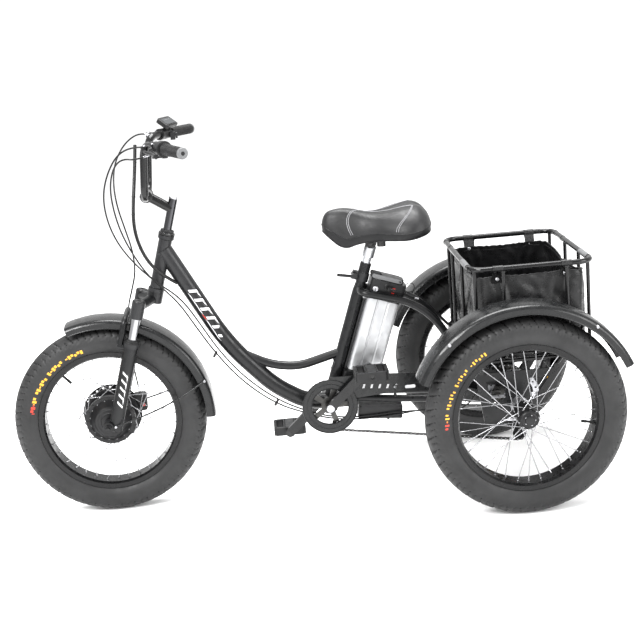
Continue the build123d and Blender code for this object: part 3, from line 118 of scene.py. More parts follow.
class Shape:
    """Points and faces gathered into one piece; every face keeps its material's number."""

    def __init__(self):
        self.points, self.faces, self.tones = [], [], []

    def add(self, points, faces, tone=0):
        base = len(self.points)
        self.points.extend(tuple(p) for p in points)
        self.faces.extend([i + base for i in face] for face in faces)
        self.tones.extend([tone] * len(faces))

    def rings(self, rings, tone=0, looped=False, capped=True):
        """Skin through rings that all have the same number of points."""
        n, count = len(rings[0]), len(rings)
        faces = []
        for r in range(count if looped else count - 1):
            a, b = r * n, (r + 1) % count * n
            faces += [(a + i, a + (i + 1) % n, b + (i + 1) % n, b + i) for i in range(n)]
        if capped and not looped:
            faces += [tuple(range(n))[::-1], tuple(range((count - 1) * n, count * n))]
        self.add([p for ring in rings for p in ring], faces, tone)

    def turned(self, centre, axis, profile, tone=0, steps=20):
        """Round part from (distance along the axis, radius) pairs in millimetres."""
        axis = Vector(axis).normalized()
        u, v = across(axis)
        turns = [2 * math.pi * i / steps for i in range(steps)]
        self.rings([[centre + (axis * along + (u * math.cos(t) + v * math.sin(t)) * r) * 0.001
                     for t in turns]
                    for along, r in profile], tone)

    def tube(self, path, radius, tone=0, sides=10, looped=False):
        """Round tube of a radius in millimetres through the points of a smooth path."""
        path = [Vector(p) for p in path]
        rings, side = [], None
        for i, p in enumerate(path):
            ahead = path[(i + 1) % len(path)] if looped or i + 1 < len(path) else p
            behind = path[i - 1] if looped or i else p
            run = (ahead - behind).normalized()
            side = across(run)[0] if side is None else (side - run * side.dot(run)).normalized()
            other = run.cross(side)
            turns = [2 * math.pi * k / sides for k in range(sides)]
            rings.append([p + (side * math.cos(t) + other * math.sin(t)) * radius * 0.001 for t in turns])
        self.rings(rings, tone, looped)

    def slab(self, centre, x_dir, y_dir, outline, thickness, tone=0, edge=0.6):
        """Flat plate with softened edges; the outline and thickness are in millimetres."""
        x_dir, y_dir = Vector(x_dir).normalized(), Vector(y_dir).normalized()
        up = x_dir.cross(y_dir)
        size = max(max(abs(x), abs(y)) for x, y in outline)
        small = 1 - edge / size
        levels = ((0, small), (edge, 1), (thickness - edge, 1), (thickness, small))
        self.rings([[centre + (x_dir * x * k + y_dir * y * k + up * h) * 0.001 for x, y in outline]
                    for h, k in levels], tone)

    def bolt(self, centre, axis, r, tone=0):
        """Socket-head button bolt."""
        self.turned(centre, axis, [(-1, r), (r * 0.35, r), (r * 0.75, r * 0.72), (r * 0.8, r * 0.45),
                                   (r * 0.35, r * 0.42)], tone, 12)

    def piece(self, name, body, materials, slot=None, sharp=38.0):
        mesh = bpy.data.meshes.new(name)
        mesh.from_pydata(self.points, [], self.faces)
        for material in materials:
            mesh.materials.append(material)
        mesh.polygons.foreach_set("material_index", self.tones)
        mesh.polygons.foreach_set("use_smooth", [True] * len(self.faces))
        work = bmesh.new()
        work.from_mesh(mesh)
        bmesh.ops.recalc_face_normals(work, faces=work.faces)
        work.to_mesh(mesh)
        work.free()
        mesh.set_sharp_from_angle(angle=math.radians(sharp))
        obj = bpy.data.objects.new(name, mesh)
        bpy.context.scene.collection.objects.link(obj)
        if body:
            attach(obj, body)
        return obj


def rounded(width, height, r, steps=5):
    """Outline of a rounded rectangle."""
    points = []
    for cx, cy, start in ((1, 1, 0), (-1, 1, 90), (-1, -1, 180), (1, -1, 270)):
        for i in range(steps + 1):
            a = math.radians(start + 90 * i / steps)
            x, y = cx * (width / 2 - r), cy * (height / 2 - r)
            points.append((x + r * math.cos(a), y + r * math.sin(a)))
    return points


def circle_arc(a, b, c, count):
    """Points of the arc through three points of a plane."""
    a, b, c = (complex(*p) for p in (a, b, c))
    w = (c - a) / (b - a)
    centre = (b - a) * (w - abs(w) ** 2) / (2j * w.imag) + a
    start, middle, end = (np.angle(p - centre) for p in (a, b, c))
    turn = (end - start) % (2 * math.pi)
    if (middle - start) % (2 * math.pi) > turn:
        turn -= 2 * math.pi
    radius = abs(a - centre)
    points = [centre + radius * np.exp(1j * (start + turn * i / (count - 1))) for i in range(count)]
    return [(point.real, point.imag) for point in points]


# ---------------------------------------------------------------- materials
class Finish:
    """Principled material with colour variation, uneven roughness and relief."""

    def __init__(self, name, colour, rough, metal=0.0, mottle=0.15, uneven=0.08):
        self.material = bpy.data.materials.new(name)
        self.material.use_nodes = True
        self.nodes, self.links = self.material.node_tree.nodes, self.material.node_tree.links
        self.shader = self.nodes["Principled BSDF"]
        self.shader.inputs["Metallic"].default_value = metal
        self.place = self.nodes.new("ShaderNodeTexCoord").outputs["Object"]
        cloud = self.texture("Noise", 14.0, Detail=5.0)
        darker, lighter = ([c * k for c in colour] + [1] for k in (1 - mottle, 1 + mottle))
        self.colour = self.mix(cloud, darker, lighter)
        self.links.new(self.colour, self.shader.inputs["Base Color"])
        spread = self.nodes.new("ShaderNodeMapRange")
        ends = {"From Min": 0.35, "From Max": 0.65, "To Min": rough - uneven, "To Max": rough + uneven}
        for end, value in ends.items():
            spread.inputs[end].default_value = value
        self.links.new(self.texture("Noise", 60.0, Detail=3.0), spread.inputs["Value"])
        self.links.new(spread.outputs["Result"], self.shader.inputs["Roughness"])

    def texture(self, kind, scale, stretch=None, **values):
        node = self.nodes.new(f"ShaderNodeTex{kind}")
        node.inputs["Scale"].default_value = scale
        for name, value in values.items():
            node.inputs[name].default_value = value
        place = self.place
        if stretch:
            mapping = self.nodes.new("ShaderNodeMapping")
            mapping.inputs["Scale"].default_value = stretch
            self.links.new(self.place, mapping.inputs["Vector"])
            place = mapping.outputs["Vector"]
        self.links.new(place, node.inputs["Vector"])
        return node.outputs[0]

    def mix(self, factor, a, b, low=0.3, high=0.7):
        ramp = self.nodes.new("ShaderNodeValToRGB")
        ramp.color_ramp.elements[0].position, ramp.color_ramp.elements[0].color = low, a
        ramp.color_ramp.elements[1].position, ramp.color_ramp.elements[1].color = high, b
        self.links.new(factor, ramp.inputs["Fac"])
        return ramp.outputs["Color"]

    def wear(self, colour, amount=0.5):
        """Lighter rubbed edges."""
        edge = self.nodes.new("ShaderNodeNewGeometry").outputs["Pointiness"]
        mask = self.mix(edge, (0, 0, 0, 1), (amount, amount, amount, 1), 0.52, 0.6)
        blend = self.nodes.new("ShaderNodeMixRGB")
        self.links.new(mask, blend.inputs["Fac"])
        self.links.new(self.colour, blend.inputs["Color1"])
        blend.inputs["Color2"].default_value = (*colour, 1)
        self.links.new(blend.outputs["Color"], self.shader.inputs["Base Color"])
        return self

    def relief(self, height, strength, depth):
        bump = self.nodes.new("ShaderNodeBump")
        bump.inputs["Strength"].default_value = strength
        bump.inputs["Distance"].default_value = depth
        self.links.new(height, bump.inputs["Height"])
        previous = self.shader.inputs["Normal"].links
        if previous:
            self.links.new(previous[0].from_socket, bump.inputs["Normal"])
        self.links.new(bump.outputs["Normal"], self.shader.inputs["Normal"])
        return self

    def grain(self, scale=900.0, strength=0.25, depth=0.0002, stretch=None):
        return self.relief(self.texture("Noise", scale, stretch, Detail=3.0), strength, depth)

    def cells(self, scale=700.0, strength=0.4, depth=0.0003):
        return self.relief(self.texture("Voronoi", scale), strength, depth)

    def lines(self, scale, strength, depth, stretch):
        return self.relief(self.texture("Wave", scale, stretch, Distortion=0.4), strength, depth)

    def gloss(self, coat=0.0, shine=0.5):
        self.shader.inputs["Specular IOR Level"].default_value = shine
        self.shader.inputs["Coat Weight"].default_value = coat
        self.shader.inputs["Coat Roughness"].default_value = 0.12
        return self


paint = Finish("frame_paint", (0.0050, 0.0052, 0.0056), 0.34).wear((0.03, 0.03, 0.032), 0.4) \
    .grain(700, 0.12, 0.0002).gloss(coat=0.05, shine=0.26).material
guard_black = Finish("guard_black", (0.0055, 0.0058, 0.0062), 0.27).grain(420, 0.10, 0.0003) \
    .gloss(coat=0.08, shine=0.28).material
tube_black = Finish("tube_black", (0.0035, 0.0035, 0.0038), 0.22).wear((0.04, 0.04, 0.04), 0.3) \
    .grain(600, 0.15, 0.0002).gloss(coat=0.1, shine=0.3).material
rim_black = Finish("rim_black", (0.0035, 0.0035, 0.0038), 0.30) \
    .grain(800, 0.1, 0.0001).gloss(coat=0.05, shine=0.25).material
motor_black = Finish("motor_black", (0.006, 0.006, 0.0065), 0.36) \
    .grain(500, 0.3, 0.0003).gloss(shine=0.3).material
rubber = Finish("tyre_rubber", (0.0165, 0.0165, 0.0168), 0.52, mottle=0.28) \
    .wear((0.07, 0.07, 0.07), 0.5) \
    .grain(1300, 0.45, 0.0003).cells(260, 0.10, 0.0003).gloss(shine=0.3).material
# Groove rubber: the tyre's rubber made much darker, as painted shade at the bottoms of the tread grooves.
groove_shade_rubber = Finish("tyre_groove_painted_shade", (0.0035, 0.0035, 0.0036), 0.75) \
    .grain(1300, 0.3, 0.0003).gloss(shine=0.15).material
print_amber = Finish("print_amber", (0.72, 0.36, 0.02), 0.55).grain(900, 0.3, 0.0002).material
print_red = Finish("print_red", (0.62, 0.03, 0.01), 0.55).grain(900, 0.3, 0.0002).material
decal_white = Finish("decal_white", (0.62, 0.62, 0.63), 0.35, mottle=0.05) \
    .grain(500, 0.1, 0.0001).material
steel = Finish("spoke_steel", (0.33, 0.33, 0.34), 0.26, 1.0, mottle=0.08) \
    .grain(400, 0.2, 0.0001, (1, 6, 1)).material
zinc = Finish("bolt_zinc", (0.50, 0.50, 0.52), 0.34, 1.0, mottle=0.2) \
    .grain(900, 0.2, 0.0001).material
rotor_steel = Finish("rotor_steel", (0.42, 0.42, 0.44), 0.30, 1.0) \
    .grain(1500, 0.4, 0.0001, (1, 8, 1)).material
chain_steel = Finish("chain_steel", (0.055, 0.054, 0.052), 0.36, 1.0, mottle=0.35) \
    .grain(900, 0.3, 0.0001).material
chrome = Finish("chrome", (0.34, 0.34, 0.35), 0.12, 1.0, mottle=0.06, uneven=0.03) \
    .grain(300, 0.05, 0.0001).material
dark_chrome = Finish("dark_chrome", (0.075, 0.075, 0.08), 0.14, 1.0, mottle=0.1, uneven=0.04) \
    .grain(300, 0.05, 0.0001).material
alloy = Finish("alloy", (0.58, 0.59, 0.61), 0.36, 1.0, mottle=0.08) \
    .grain(700, 0.3, 0.0001, (1, 1, 5)).material
cell_alloy = Finish("cell_alloy", (0.46, 0.465, 0.475), 0.36, 0.85, mottle=0.05) \
    .grain(900, 0.25, 0.0001, (6, 6, 0.4)).material
plastic = Finish("black_plastic", (0.0065, 0.0065, 0.007), 0.38) \
    .cells(900, 0.22, 0.0002).gloss(shine=0.32).material
grey_plastic = Finish("grey_plastic", (0.11, 0.112, 0.115), 0.42).cells(900, 0.15, 0.0002).material
grip_rubber = Finish("grip_rubber", (0.006, 0.006, 0.0063), 0.55) \
    .cells(1100, 0.5, 0.0003).gloss(shine=0.28).material
sheath = Finish("cable_sheath", (0.004, 0.004, 0.0042), 0.34) \
    .grain(900, 0.2, 0.0001).gloss(coat=0.05, shine=0.25).material
leather = Finish("saddle_cover", (0.0125, 0.0125, 0.013), 0.42, mottle=0.12) \
    .cells(620, 0.55, 0.0004).grain(120, 0.25, 0.0004).gloss(shine=0.3).material
skirt_leather = Finish("saddle_skirt", (0.0055, 0.0055, 0.006), 0.42) \
    .cells(620, 0.5, 0.0003).gloss(shine=0.25).material
thread = Finish("thread", (0.26, 0.26, 0.27), 0.8).lines(1400, 0.6, 0.0003, (1, 1, 1)).material
cloth = Finish("liner_cloth", (0.0055, 0.0055, 0.0058), 0.30, mottle=0.2) \
    .lines(900, 0.25, 0.0002, (1, 1, 0)).lines(900, 0.25, 0.0002, (0, 0, 1)).grain(90, 0.3, 0.0006) \
    .gloss(shine=0.38).material
webbing = Finish("webbing", (0.012, 0.012, 0.0125), 0.7) \
    .lines(1200, 0.6, 0.0003, (1, 1, 1)).material
glass = Finish("display_glass", (0.010, 0.013, 0.016), 0.08, mottle=0.05, uneven=0.02) \
    .grain(200, 0.02, 0.0001).gloss(coat=0.6).material
red_plastic = Finish("red_plastic", (0.55, 0.02, 0.015), 0.3) \
    .grain(500, 0.1, 0.0001).gloss(coat=0.3).material

node_finish = {
    paint: ("head_tube", "down_tube", "step_tube", "seat_tube", "rear_stays", "rear_subframe", "fork_crown",
            "fork_lowers"),
    guard_black: ("rear_fenders", "front_fender", "chain_guard"),
    tube_black: ("basket_frame", "handlebar", "saddle_frame", "crank_arms", "derailleur_body",
                 "derailleur_cage"),
    rim_black: ("front_rim", "rear_rim_near", "rear_rim_far"),
    motor_black: ("front_hub_motor", "rear_hub_near", "rear_hub_far", "front_axle"),
    steel: ("front_spokes", "rear_spokes_near", "rear_spokes_far"),
    chain_steel: ("chainring", "cassette"),
    chrome: ("stanchions",),
    dark_chrome: ("quill_stem",),
    alloy: ("seat_post",),
    plastic: ("controller_box", "battery_dock", "battery_cap", "bar_controls", "display", "shift_lever",
              "mode_rocker", "pedal_near", "pedal_far", "front_caliper", "rear_caliper", "seat_lever",
              "brake_lever_near", "brake_lever_far"),
    grey_plastic: ("battery_handle",),
}
for material, names in node_finish.items():
    for name in names:
        data = frame["nodes"][name].data
        data.materials.clear()
        data.materials.append(material)


def tint(node, material, chosen):
    """Give another material to the faces of a CAD node whose centre passes a test."""
    data = frame["nodes"][node].data
    data.materials.append(material)
    number = len(data.materials) - 1
    for face in data.polygons:
        if chosen(face.center):
            face.material_index = number


def off_axle(p, axle):
    return math.hypot(p.x - axle.x, p.z - axle.z)


def off_steering(p):
    return (p - head_base - steer_up * (p - head_base).dot(steer_up)).length


front_rotor_y, rear_rotor_y = 0.0515, -0.150
tint("front_hub_motor", rotor_steel, lambda p: p.y > front_rotor_y and off_axle(p, front_axle) > 0.03)
tint("rear_hub_near", rotor_steel,
     lambda p: abs(p.y - rear_rotor_y) < 0.0015 and off_axle(p, rear_axle) > 0.02)
tint("quill_stem", tube_black, lambda p: off_steering(p) > 0.0145)
tint("saddle_frame", alloy, lambda p: abs(p.y) < 0.018 and p.z < on_seat(489).z)
tint("rear_subframe", zinc, lambda p: off_axle(p, rear_axle) < 0.0262 and abs(p.y) > 0.2)


# ---------------------------------------------------------------- wheels
tyre_w, tyre_r, shoulder_y, shoulder_r, bead_y = 47.0, 290.0, 40.9, 270.0, 32.5
tread_blocks = 42
# Material number of the groove faces, which carry painted shade.
GROOVE_SHADE_TONE = 3


def tread_depth(angle, s):
    """Groove depth at a turn of the wheel and a place across the crown, -1 to 1."""
    pitch = angle * tread_blocks / (2 * math.pi)
    lean = (pitch + 0.42 * np.abs(s) + 0.5 * (s > 0)) % 1.0
    edge = (pitch * 2 + 0.9 * np.abs(s)) % 1.0
    wide = (lean < 0.17) & (np.abs(s) > 0.16) & (np.abs(s) < 0.80)
    ring = (np.abs(np.abs(s) - 0.20 - 0.04 * np.sin(2 * math.pi * pitch)) < 0.045)
    shoulder = (edge < 0.22) & (np.abs(s) > 0.72)
    sipe = (np.abs(((pitch + 0.5) % 1.0) - 0.5) < 0.07) & (np.abs(s) < 0.16)
    return 3.0 * (wide | ring) + 2.6 * (shoulder & ~wide) + 1.6 * sipe


def tyre(name, centre, body, node, print_start, turns=588):
    wall = circle_arc((36.5, 216.7), (tyre_w, 243.4), (shoulder_y, shoulder_r), 15)
    crown = circle_arc((shoulder_y, shoulder_r), (0, tyre_r), (-shoulder_y, shoulder_r), 35)
    bead = [(bead_y, 205.5), (bead_y, 216.0)]
    near_half = bead + wall
    outer = near_half + crown[1:-1] + [(-y, r) for y, r in reversed(near_half)]
    inner = [(-28, 206), (-28, 217), (-42, 243), (-36, 267), (0, 283), (36, 267), (42, 243), (28, 217),
             (28, 206)]
    profile = np.array(outer + inner)
    y, r = profile[:, 0], profile[:, 1]
    outside = np.arange(len(profile)) < len(outer)
    angle = np.linspace(0, 2 * math.pi, turns, endpoint=False)[:, None]
    s = np.clip(y / shoulder_y, -1, 1)[None, :]
    on_crown = outside & (r >= shoulder_r - 0.01)
    depth = np.where(on_crown[None, :], tread_depth(angle, s), 0)
    shoulder_band = outside & (r > 250) & (r < shoulder_r - 0.01)
    bend = 0.9 * np.sin((r[None, :] - 250) / 20 * math.pi * 0.55)
    swirl = (angle * tread_blocks / (2 * math.pi) + bend) % 1.0
    cuts = (swirl < 0.13) | ((swirl > 0.45) & (swirl < 0.56) & (r[None, :] > 256))
    depth += np.where(shoulder_band[None, :] & cuts, 2.2, 0)
    for ring_r in (222.0, 228.5, 249.0):
        depth += np.where(outside & (np.abs(r - ring_r) < 1.6), 0.7, 0)[None, :]
    radial = np.where(on_crown, 1.0, 0.55)[None, :]
    rr = r[None, :] - depth * radial
    yy = np.broadcast_to(y[None, :] - np.sign(y)[None, :] * depth * (1 - radial), rr.shape)
    points = np.stack([centre.x + rr * np.cos(angle) * 0.001, centre.y + yy * 0.001,
                       centre.z + rr * np.sin(angle) * 0.001], axis=-1)
    shape = Shape()
    shape.rings([list(map(tuple, ring)) for ring in points], looped=True)
    degrees = np.degrees(angle[:, 0])
    n = len(profile)
    for t in range(turns):
        for i in range(len(outer) - 1):
            # Faces deep in a groove take the darker groove rubber: painted shade in the grooves.
            if min(*depth[t, i:i + 2], *depth[(t + 1) % turns, i:i + 2]) > 1.0:
                shape.tones[t * n + i] = GROOVE_SHADE_TONE
        turn = (degrees[t] - print_start) % 360
        stroke, part = divmod(turn / 2.45, 1)
        if turn > 64 or part > 0.55 or stroke % 7 == 6:
            continue
        tone = 2 if turn > 57 else 1
        top, foot = 238.5 - (stroke % 3) * 1.2, (226.0, 229.0, 226.0, 232.0)[int(stroke) % 4]
        for i in range(len(outer) - 1):
            if foot < (r[i] + r[i + 1]) / 2 < top:
                shape.tones[t * n + i] = tone
    obj = shape.piece(name, body, (rubber, print_amber, print_red, groove_shade_rubber), "tyre", sharp=32)
    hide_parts(node)


spokes_each_side, spoke_tip_r, spoke_twist = 18, 196, math.radians(60)


def spoke_line(centre, flange_y, flange_r, first, i):
    """Hub end and rim end of one crossed spoke."""
    way = 1 if i % 2 else -1
    hub_angle = math.radians(first + i * 360 / spokes_each_side)
    rim_angle = hub_angle + way * spoke_twist
    start = centre + mm(flange_r * math.cos(hub_angle), flange_y + way * 3, flange_r * math.sin(hub_angle))
    tip_y = math.copysign(5.0, flange_y) + way * 1.6
    return start, centre + mm(spoke_tip_r * math.cos(rim_angle), tip_y, spoke_tip_r * math.sin(rim_angle))


def wheel_hardware(name, centre, body, flanges, valve_turn):
    """Spoke nipples, spoke heads and the valve."""
    shape = Shape()
    for n, (flange_y, flange_r) in enumerate(flanges):
        for i in range(spokes_each_side):
            start, end = spoke_line(centre, flange_y, flange_r, n * 10.0, i)
            back = (start - end).normalized()
            shape.turned(end, back, [(-2, 2.9), (0.5, 2.9), (1.5, 2.0), (12, 1.8), (13, 1.3)], 0, 8)
            shape.turned(start, Y_DIR, [(-2.4, 1.2), (-1.9, 2.3), (1.9, 2.3), (2.4, 1.2)], 0, 8)
    turn = math.radians(valve_turn)
    out = Vector((math.cos(turn), 0, math.sin(turn)))
    shape.turned(centre + out * 0.1965, -out,
                 [(0, 5.5), (2, 5.4), (5, 3.9), (20, 3.7), (24, 4.4), (34, 4.4), (36, 3.2)], 1, 14)
    shape.piece(name, body, (steel, grip_rubber), "steel")


wheels = (
    ("front", front_axle, "front_wheel", ((-14.0, 72.0), (24.0, 80.0)), 104, 132),
    ("rear_near", rear_near, "rear_wheel_near", ((-28.0, 29.0), (28.0, 29.0)), 119, 348),
    ("rear_far", rear_far, "rear_wheel_far", ((-28.0, 29.0), (28.0, 29.0)), 295, 60),
)
for which, centre, body, flanges, print_start, valve_turn in wheels:
    node = "front_tyre" if which == "front" else f"rear_tyre_{which[5:]}"
    tyre(f"tyre_{which}", centre, body, node, print_start)
    wheel_hardware(f"spoke_ends_{which}", centre, body, flanges, valve_turn)

hub_details = Shape()
for k in range(16):
    a = 2 * math.pi * (k + 0.5) / 16
    hub_details.bolt(front_axle + mm(60 * math.cos(a), -25.5, 60 * math.sin(a)), -Y_DIR, 3.4)
for r, y in ((52, -40), (40, -49.5), (30, -50)):
    hub_details.turned(front_axle + mm(0, y, 0), -Y_DIR,
                       [(-3, r), (0.4, r), (1.0, r - 0.8), (1.0, r - 3.2), (0.4, r - 4),
                                                       (-3, r - 4)], 1, 48)
for k in range(6):
    a = 2 * math.pi * k / 6
    hub_details.bolt(front_axle + mm(22 * math.cos(a), 53.2, 22 * math.sin(a)), Y_DIR, 3.6, 0)
hub_details.piece("hub_motor_bolts", "front_wheel", (zinc, motor_black), "steel")

for which, centre, side in (("near", rear_near, -1), ("far", rear_far, 1)):
    cap = Shape()
    face = centre + mm(0, side * 50, 0)
    cap.turned(face, Y_DIR * side, [(-2, 21), (1.5, 20.5), (2.8, 18), (2.8, 9), (1.6, 8)], 0, 36)
    cap.turned(face, Y_DIR * side, [(0, 15), (3.2, 15), (5.4, 13.6), (6.6, 10), (7.0, 5), (7.0, 0.5)], 0,
               36)
    for k in range(5):
        a = 2 * math.pi * k / 5
        cap.bolt(face + mm(15 * math.cos(a), side * 2.6, 15 * math.sin(a)), Y_DIR * side, 2.0, 1)
    cap.piece(f"hub_cap_{which}", f"rear_wheel_{which}", (motor_black, zinc), "black_alloy")

# ---------------------------------------------------------------- mudguards
guard_edge_y = 52.7


def guard_edge(shape, centre, side, r, first, last):
    """Rolled edge of a mudguard between two angles in degrees."""
    arc = [math.radians(first + (last - first) * i / 90) for i in range(91)]
    shape.tube([centre + mm(r * math.cos(a), side * guard_edge_y, r * math.sin(a)) for a in arc], 1.9, 0, 8)


beads = Shape()
for centre in (rear_near, rear_far):
    for side in (-1, 1):
        guard_edge(beads, centre, side, 306.5, 24.6, 155.8)
beads.piece("mudguard_edges", "frame", (guard_black,), "black_steel")

front_beads = Shape()
for side in (-1, 1):
    guard_edge(front_beads, front_axle, side, 292.5, -1.8, 108.8)
    front_beads.bolt(front_axle + mm(294, side * 57.5, 104), Y_DIR * side, 4.2, 1)
    front_beads.bolt(front_axle + mm(22, side * 106, 2), Y_DIR * side, 4.2, 1)
front_beads.piece("front_mudguard_edges", "fork_sliders", (guard_black, zinc), "black_steel")

guard_bolts = Shape()
for side in (-1, 1):
    for r, y, facing, turns in ((317, 284.4, -side, (133.0, 51.0)), (322, 393.0, side, (132.0, 52.0))):
        for a in map(math.radians, turns):
            guard_bolts.bolt(from_rear(r * math.cos(a), side * y, r * math.sin(a)), Y_DIR * facing, 5.0)
guard_bolts.piece("mudguard_bolts", "frame", (zinc,), "steel")


# ---------------------------------------------------------------- weld beads on the frame
def weld(shape, start, run, r, axis_at, axis, other_r, size=2.2):
    """Rippled bead where a tube along run meets another tube; lengths in millimetres."""
    run, axis = Vector(run).normalized(), Vector(axis).normalized()
    u, v = across(run)
    path = []
    for k in range(64):
        t = 2 * math.pi * k / 64
        p = start + (u * math.cos(t) + v * math.sin(t)) * r * 0.001
        hit = None
        for step in range(400):
            q = p + run * step * 0.0005
            gap = (q - axis_at) - axis * (q - axis_at).dot(axis)
            if gap.length < other_r * 0.001:
                hit = q
                break
        if hit is None:
            return
        path.append(hit)
    path = [p + noise.noise_vector(p * 900) * 0.0005 for p in path]
    shape.tube(path, size, 0, 8, looped=True)


welds = Shape()
weld(welds, bb + mm(-40, 0, 122), mm(-128, 0, 16), 13.5, bb + mm(-163, 0, 65), mm(-130, 0, 145), 25)
weld(welds, bb + mm(-60, 0, 118), seat_up * 0.3 + seat_back, 13.5, bb, seat_up, 18.5)
for side in (-1, 1):
    weld(welds, side_of(on_seat(361, 40, 42), side),
         side_of(on_seat(364, 0, 6) - on_seat(360, 4, 52), side),
         11, bb, seat_up, 18.5)
    weld(welds, bb + mm(80, side * 29, 9), mm(-90, 0, -4), 11, bb, Y_DIR, 22)
for ring_up in (2.0, 150.0):
    welds.tube([on_steer(ring_up) + (steer_fwd * math.cos(t) + Y_DIR * math.sin(t)) * 0.0203
                for t in np.linspace(0, 2 * math.pi, 48, endpoint=False)], 1.3, 0, 8, looped=True)
for x in (-110.0, 108.0):
    for y in (-240.0, -22.0, 22.0, 240.0):
        for dx in (-14.0, 14.0):
            bead = [from_rear(x + dx + 1.2 * math.sin(k * 1.9), y + (k - 4) * 0.9, 99.6) for k in range(9)]
            welds.tube(bead, 2.0, 0, 8)
welds.piece("weld_beads", "frame", (paint,), "frame_paint")


# ---------------------------------------------------------------- painted stripes
def tube_patch(shape, start, end, radius, middle, spread, lean, tone, facing):
    """Thin painted bar on a round tube; lean shifts it along the tube as it climbs."""
    run = (end - start).normalized()
    out = (facing - run * facing.dot(run)).normalized()
    up = out.cross(run)
    rows = []
    for j in range(9):
        a = math.radians(middle + spread * (j / 4 - 1))
        away = (out * math.cos(a) + up * math.sin(a)) * (radius + 0.25) * 0.001
        shift = run * lean * (j / 4 - 1) * 0.001
        rows.append([start + away + shift, end + away + shift])
    for lower, upper in zip(rows, rows[1:]):
        shape.add([*lower, *reversed(upper)], [(0, 1, 2, 3)], tone)


def stripes(name, body, start, end, radius, side, marks):
    shape = Shape()
    for along, length, middle, spread, tone in marks:
        a, b = start.lerp(end, along), start.lerp(end, along + length)
        tube_patch(shape, a, b, radius, middle, spread, 7, tone, Y_DIR * side)
    shape.piece(name, body, (decal_white, print_red), "frame_paint")


tube_marks = [(0.42 + 0.095 * k, 0.028, 16, 27, 0) for k in range(6)]
tube_marks += [(0.46 + 0.095 * k, 0.040, 37, 4, 0) for k in range(5)]
tube_marks += [(0.44, 0.20, -20, 2.5, 0), (0.66, 0.04, -20, 2.5, 1), (0.72, 0.20, -20, 2.5, 0)]
leg_marks = [(0.36 + 0.10 * k, 0.028, 0, 24, 0) for k in range(5)]
leg_marks += [(0.395 + 0.10 * k, 0.05, 20, 4, 0) for k in range(4)]
for side, which in ((-1, "near"), (1, "far")):
    stripes(f"down_tube_stripes_{which}", "frame", on_steer(118), bb + mm(-293, 0, 210), 25, side,
            tube_marks)
    top, foot = on_steer(-168, 41, side * 80), on_steer(-400, 41, side * 80)
    stripes(f"fork_stripes_{which}", "fork_sliders", top, foot, 21, side, leg_marks)

guard_marks = Shape()
for k in range(5):
    at = bb + mm(106 + 24 * k, -66.4, 55 - 2.3 * k)
    guard_marks.slab(at, (1, 0, 0), (0.35, 0, 1), [(-3, -6.5), (3, -6.5), (3, 6.5), (-3, 6.5)], 0.4, 0, 0.1)
guard_marks.slab(bb + mm(246, -66.4, 41), (1, 0, 0), (0, 0, 1), rounded(32, 10, 4), 0.4, 0, 0.1)
guard_marks.piece("chain_guard_stripes", "frame", (decal_white, print_red), "frame_paint")

# ---------------------------------------------------------------- fork
fork_trim = Shape()
for side in (-1, 1):
    fork_trim.turned(on_steer(-160, 41, side * 80), steer_up,
                     [(-1, 23.6), (0.5, 24.2), (3, 24.2), (4, 22), (7, 21.6), (9, 17.5), (12, 15.6),
                      (12, 14.2)], 0, 40)
    fork_trim.turned(front_axle + mm(0, side * 101.2, 0), Y_DIR * side,
                     [(0, 16), (2.4, 15.4), (2.8, 12), (2.8, 9)], 1, 30)
fork_trim.piece("fork_seals", "fork_sliders", (grip_rubber, motor_black), "black_plastic")
crown_trim = Shape()
for side in (-1, 1):
    crown_trim.turned(on_steer(-34, 41, side * 80), steer_up,
                      [(-1, 19.6), (1.6, 19.4), (3.6, 17.6), (5.4, 12), (5.4, 7), (3.2, 6.4), (3.2, 3)], 0,
                      36)
crown_trim.turned(on_steer(162.5), steer_up, [(0, 23), (1.2, 24.6), (7, 24.6), (9, 22), (9, 15)], 1, 40)
crown_trim.turned(on_steer(174), steer_up, [(-1, 20), (4, 20), (6, 18), (6, 14.6)], 0, 6)
crown_trim.piece("crown_caps", "steering", (plastic, tube_black), "black_plastic")

caliper_trim = Shape()
front_caliper = centre_of("front_caliper")
for dz in (-17, 17):
    caliper_trim.bolt(front_caliper + mm(-4, 14.5, dz), Y_DIR, 4.4, 0)
caliper_trim.turned(front_caliper + mm(2, 14, 0), Y_DIR, [(-1, 12), (2.5, 12), (3.8, 10), (3.8, 4)], 1, 32)
caliper_trim.turned(front_caliper + mm(10, -14, -8), -Y_DIR, [(-1, 5), (2.5, 5), (3.8, 4), (3.8, 2)], 1, 24)
caliper_trim.piece("front_caliper_trim", "fork_sliders", (zinc, red_plastic), "black_plastic")
rear_caliper = centre_of("rear_caliper")
rear_trim = Shape()
for dx in (-15, 15):
    rear_trim.bolt(rear_caliper + mm(dx, -15.5, -8), -Y_DIR, 3.8, 0)
rear_trim.turned(rear_caliper + mm(0, -15, 2), -Y_DIR, [(-1, 11), (2.5, 11), (3.8, 9), (3.8, 4)], 1, 32)
rear_trim.piece("rear_caliper_trim", "frame", (zinc, red_plastic), "black_plastic")


# ---------------------------------------------------------------- saddle
saddle_nose, saddle_length, saddle_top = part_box("saddle")[0].x * 1000, 323.0, 871.5
half_width = ((0, 0), (7, 19), (30, 33), (66, 42), (110, 51), (150, 72), (190, 103), (225, 124),
              (255, 129.5),
              (285, 122), (306, 98), (318, 60), (323, 0))
crest = ((0, 838), (10, 856), (30, 866), (63, 870), (92, 866), (119, 858), (146, 853), (176, 854),
         (205, 858),
         (235, 864), (265, 868), (290, 863), (306, 850), (317, 832), (323, 815))
seam_height = ((0, 826), (20, 812), (66, 784), (100, 789), (150, 796), (200, 798), (250, 799), (290, 806),
               (323, 812))
skirt_height = ((0, 806), (20, 786), (45, 764), (68, 757), (98, 765), (150, 775), (200, 778), (250, 780),
                (290, 787),
                (323, 794))


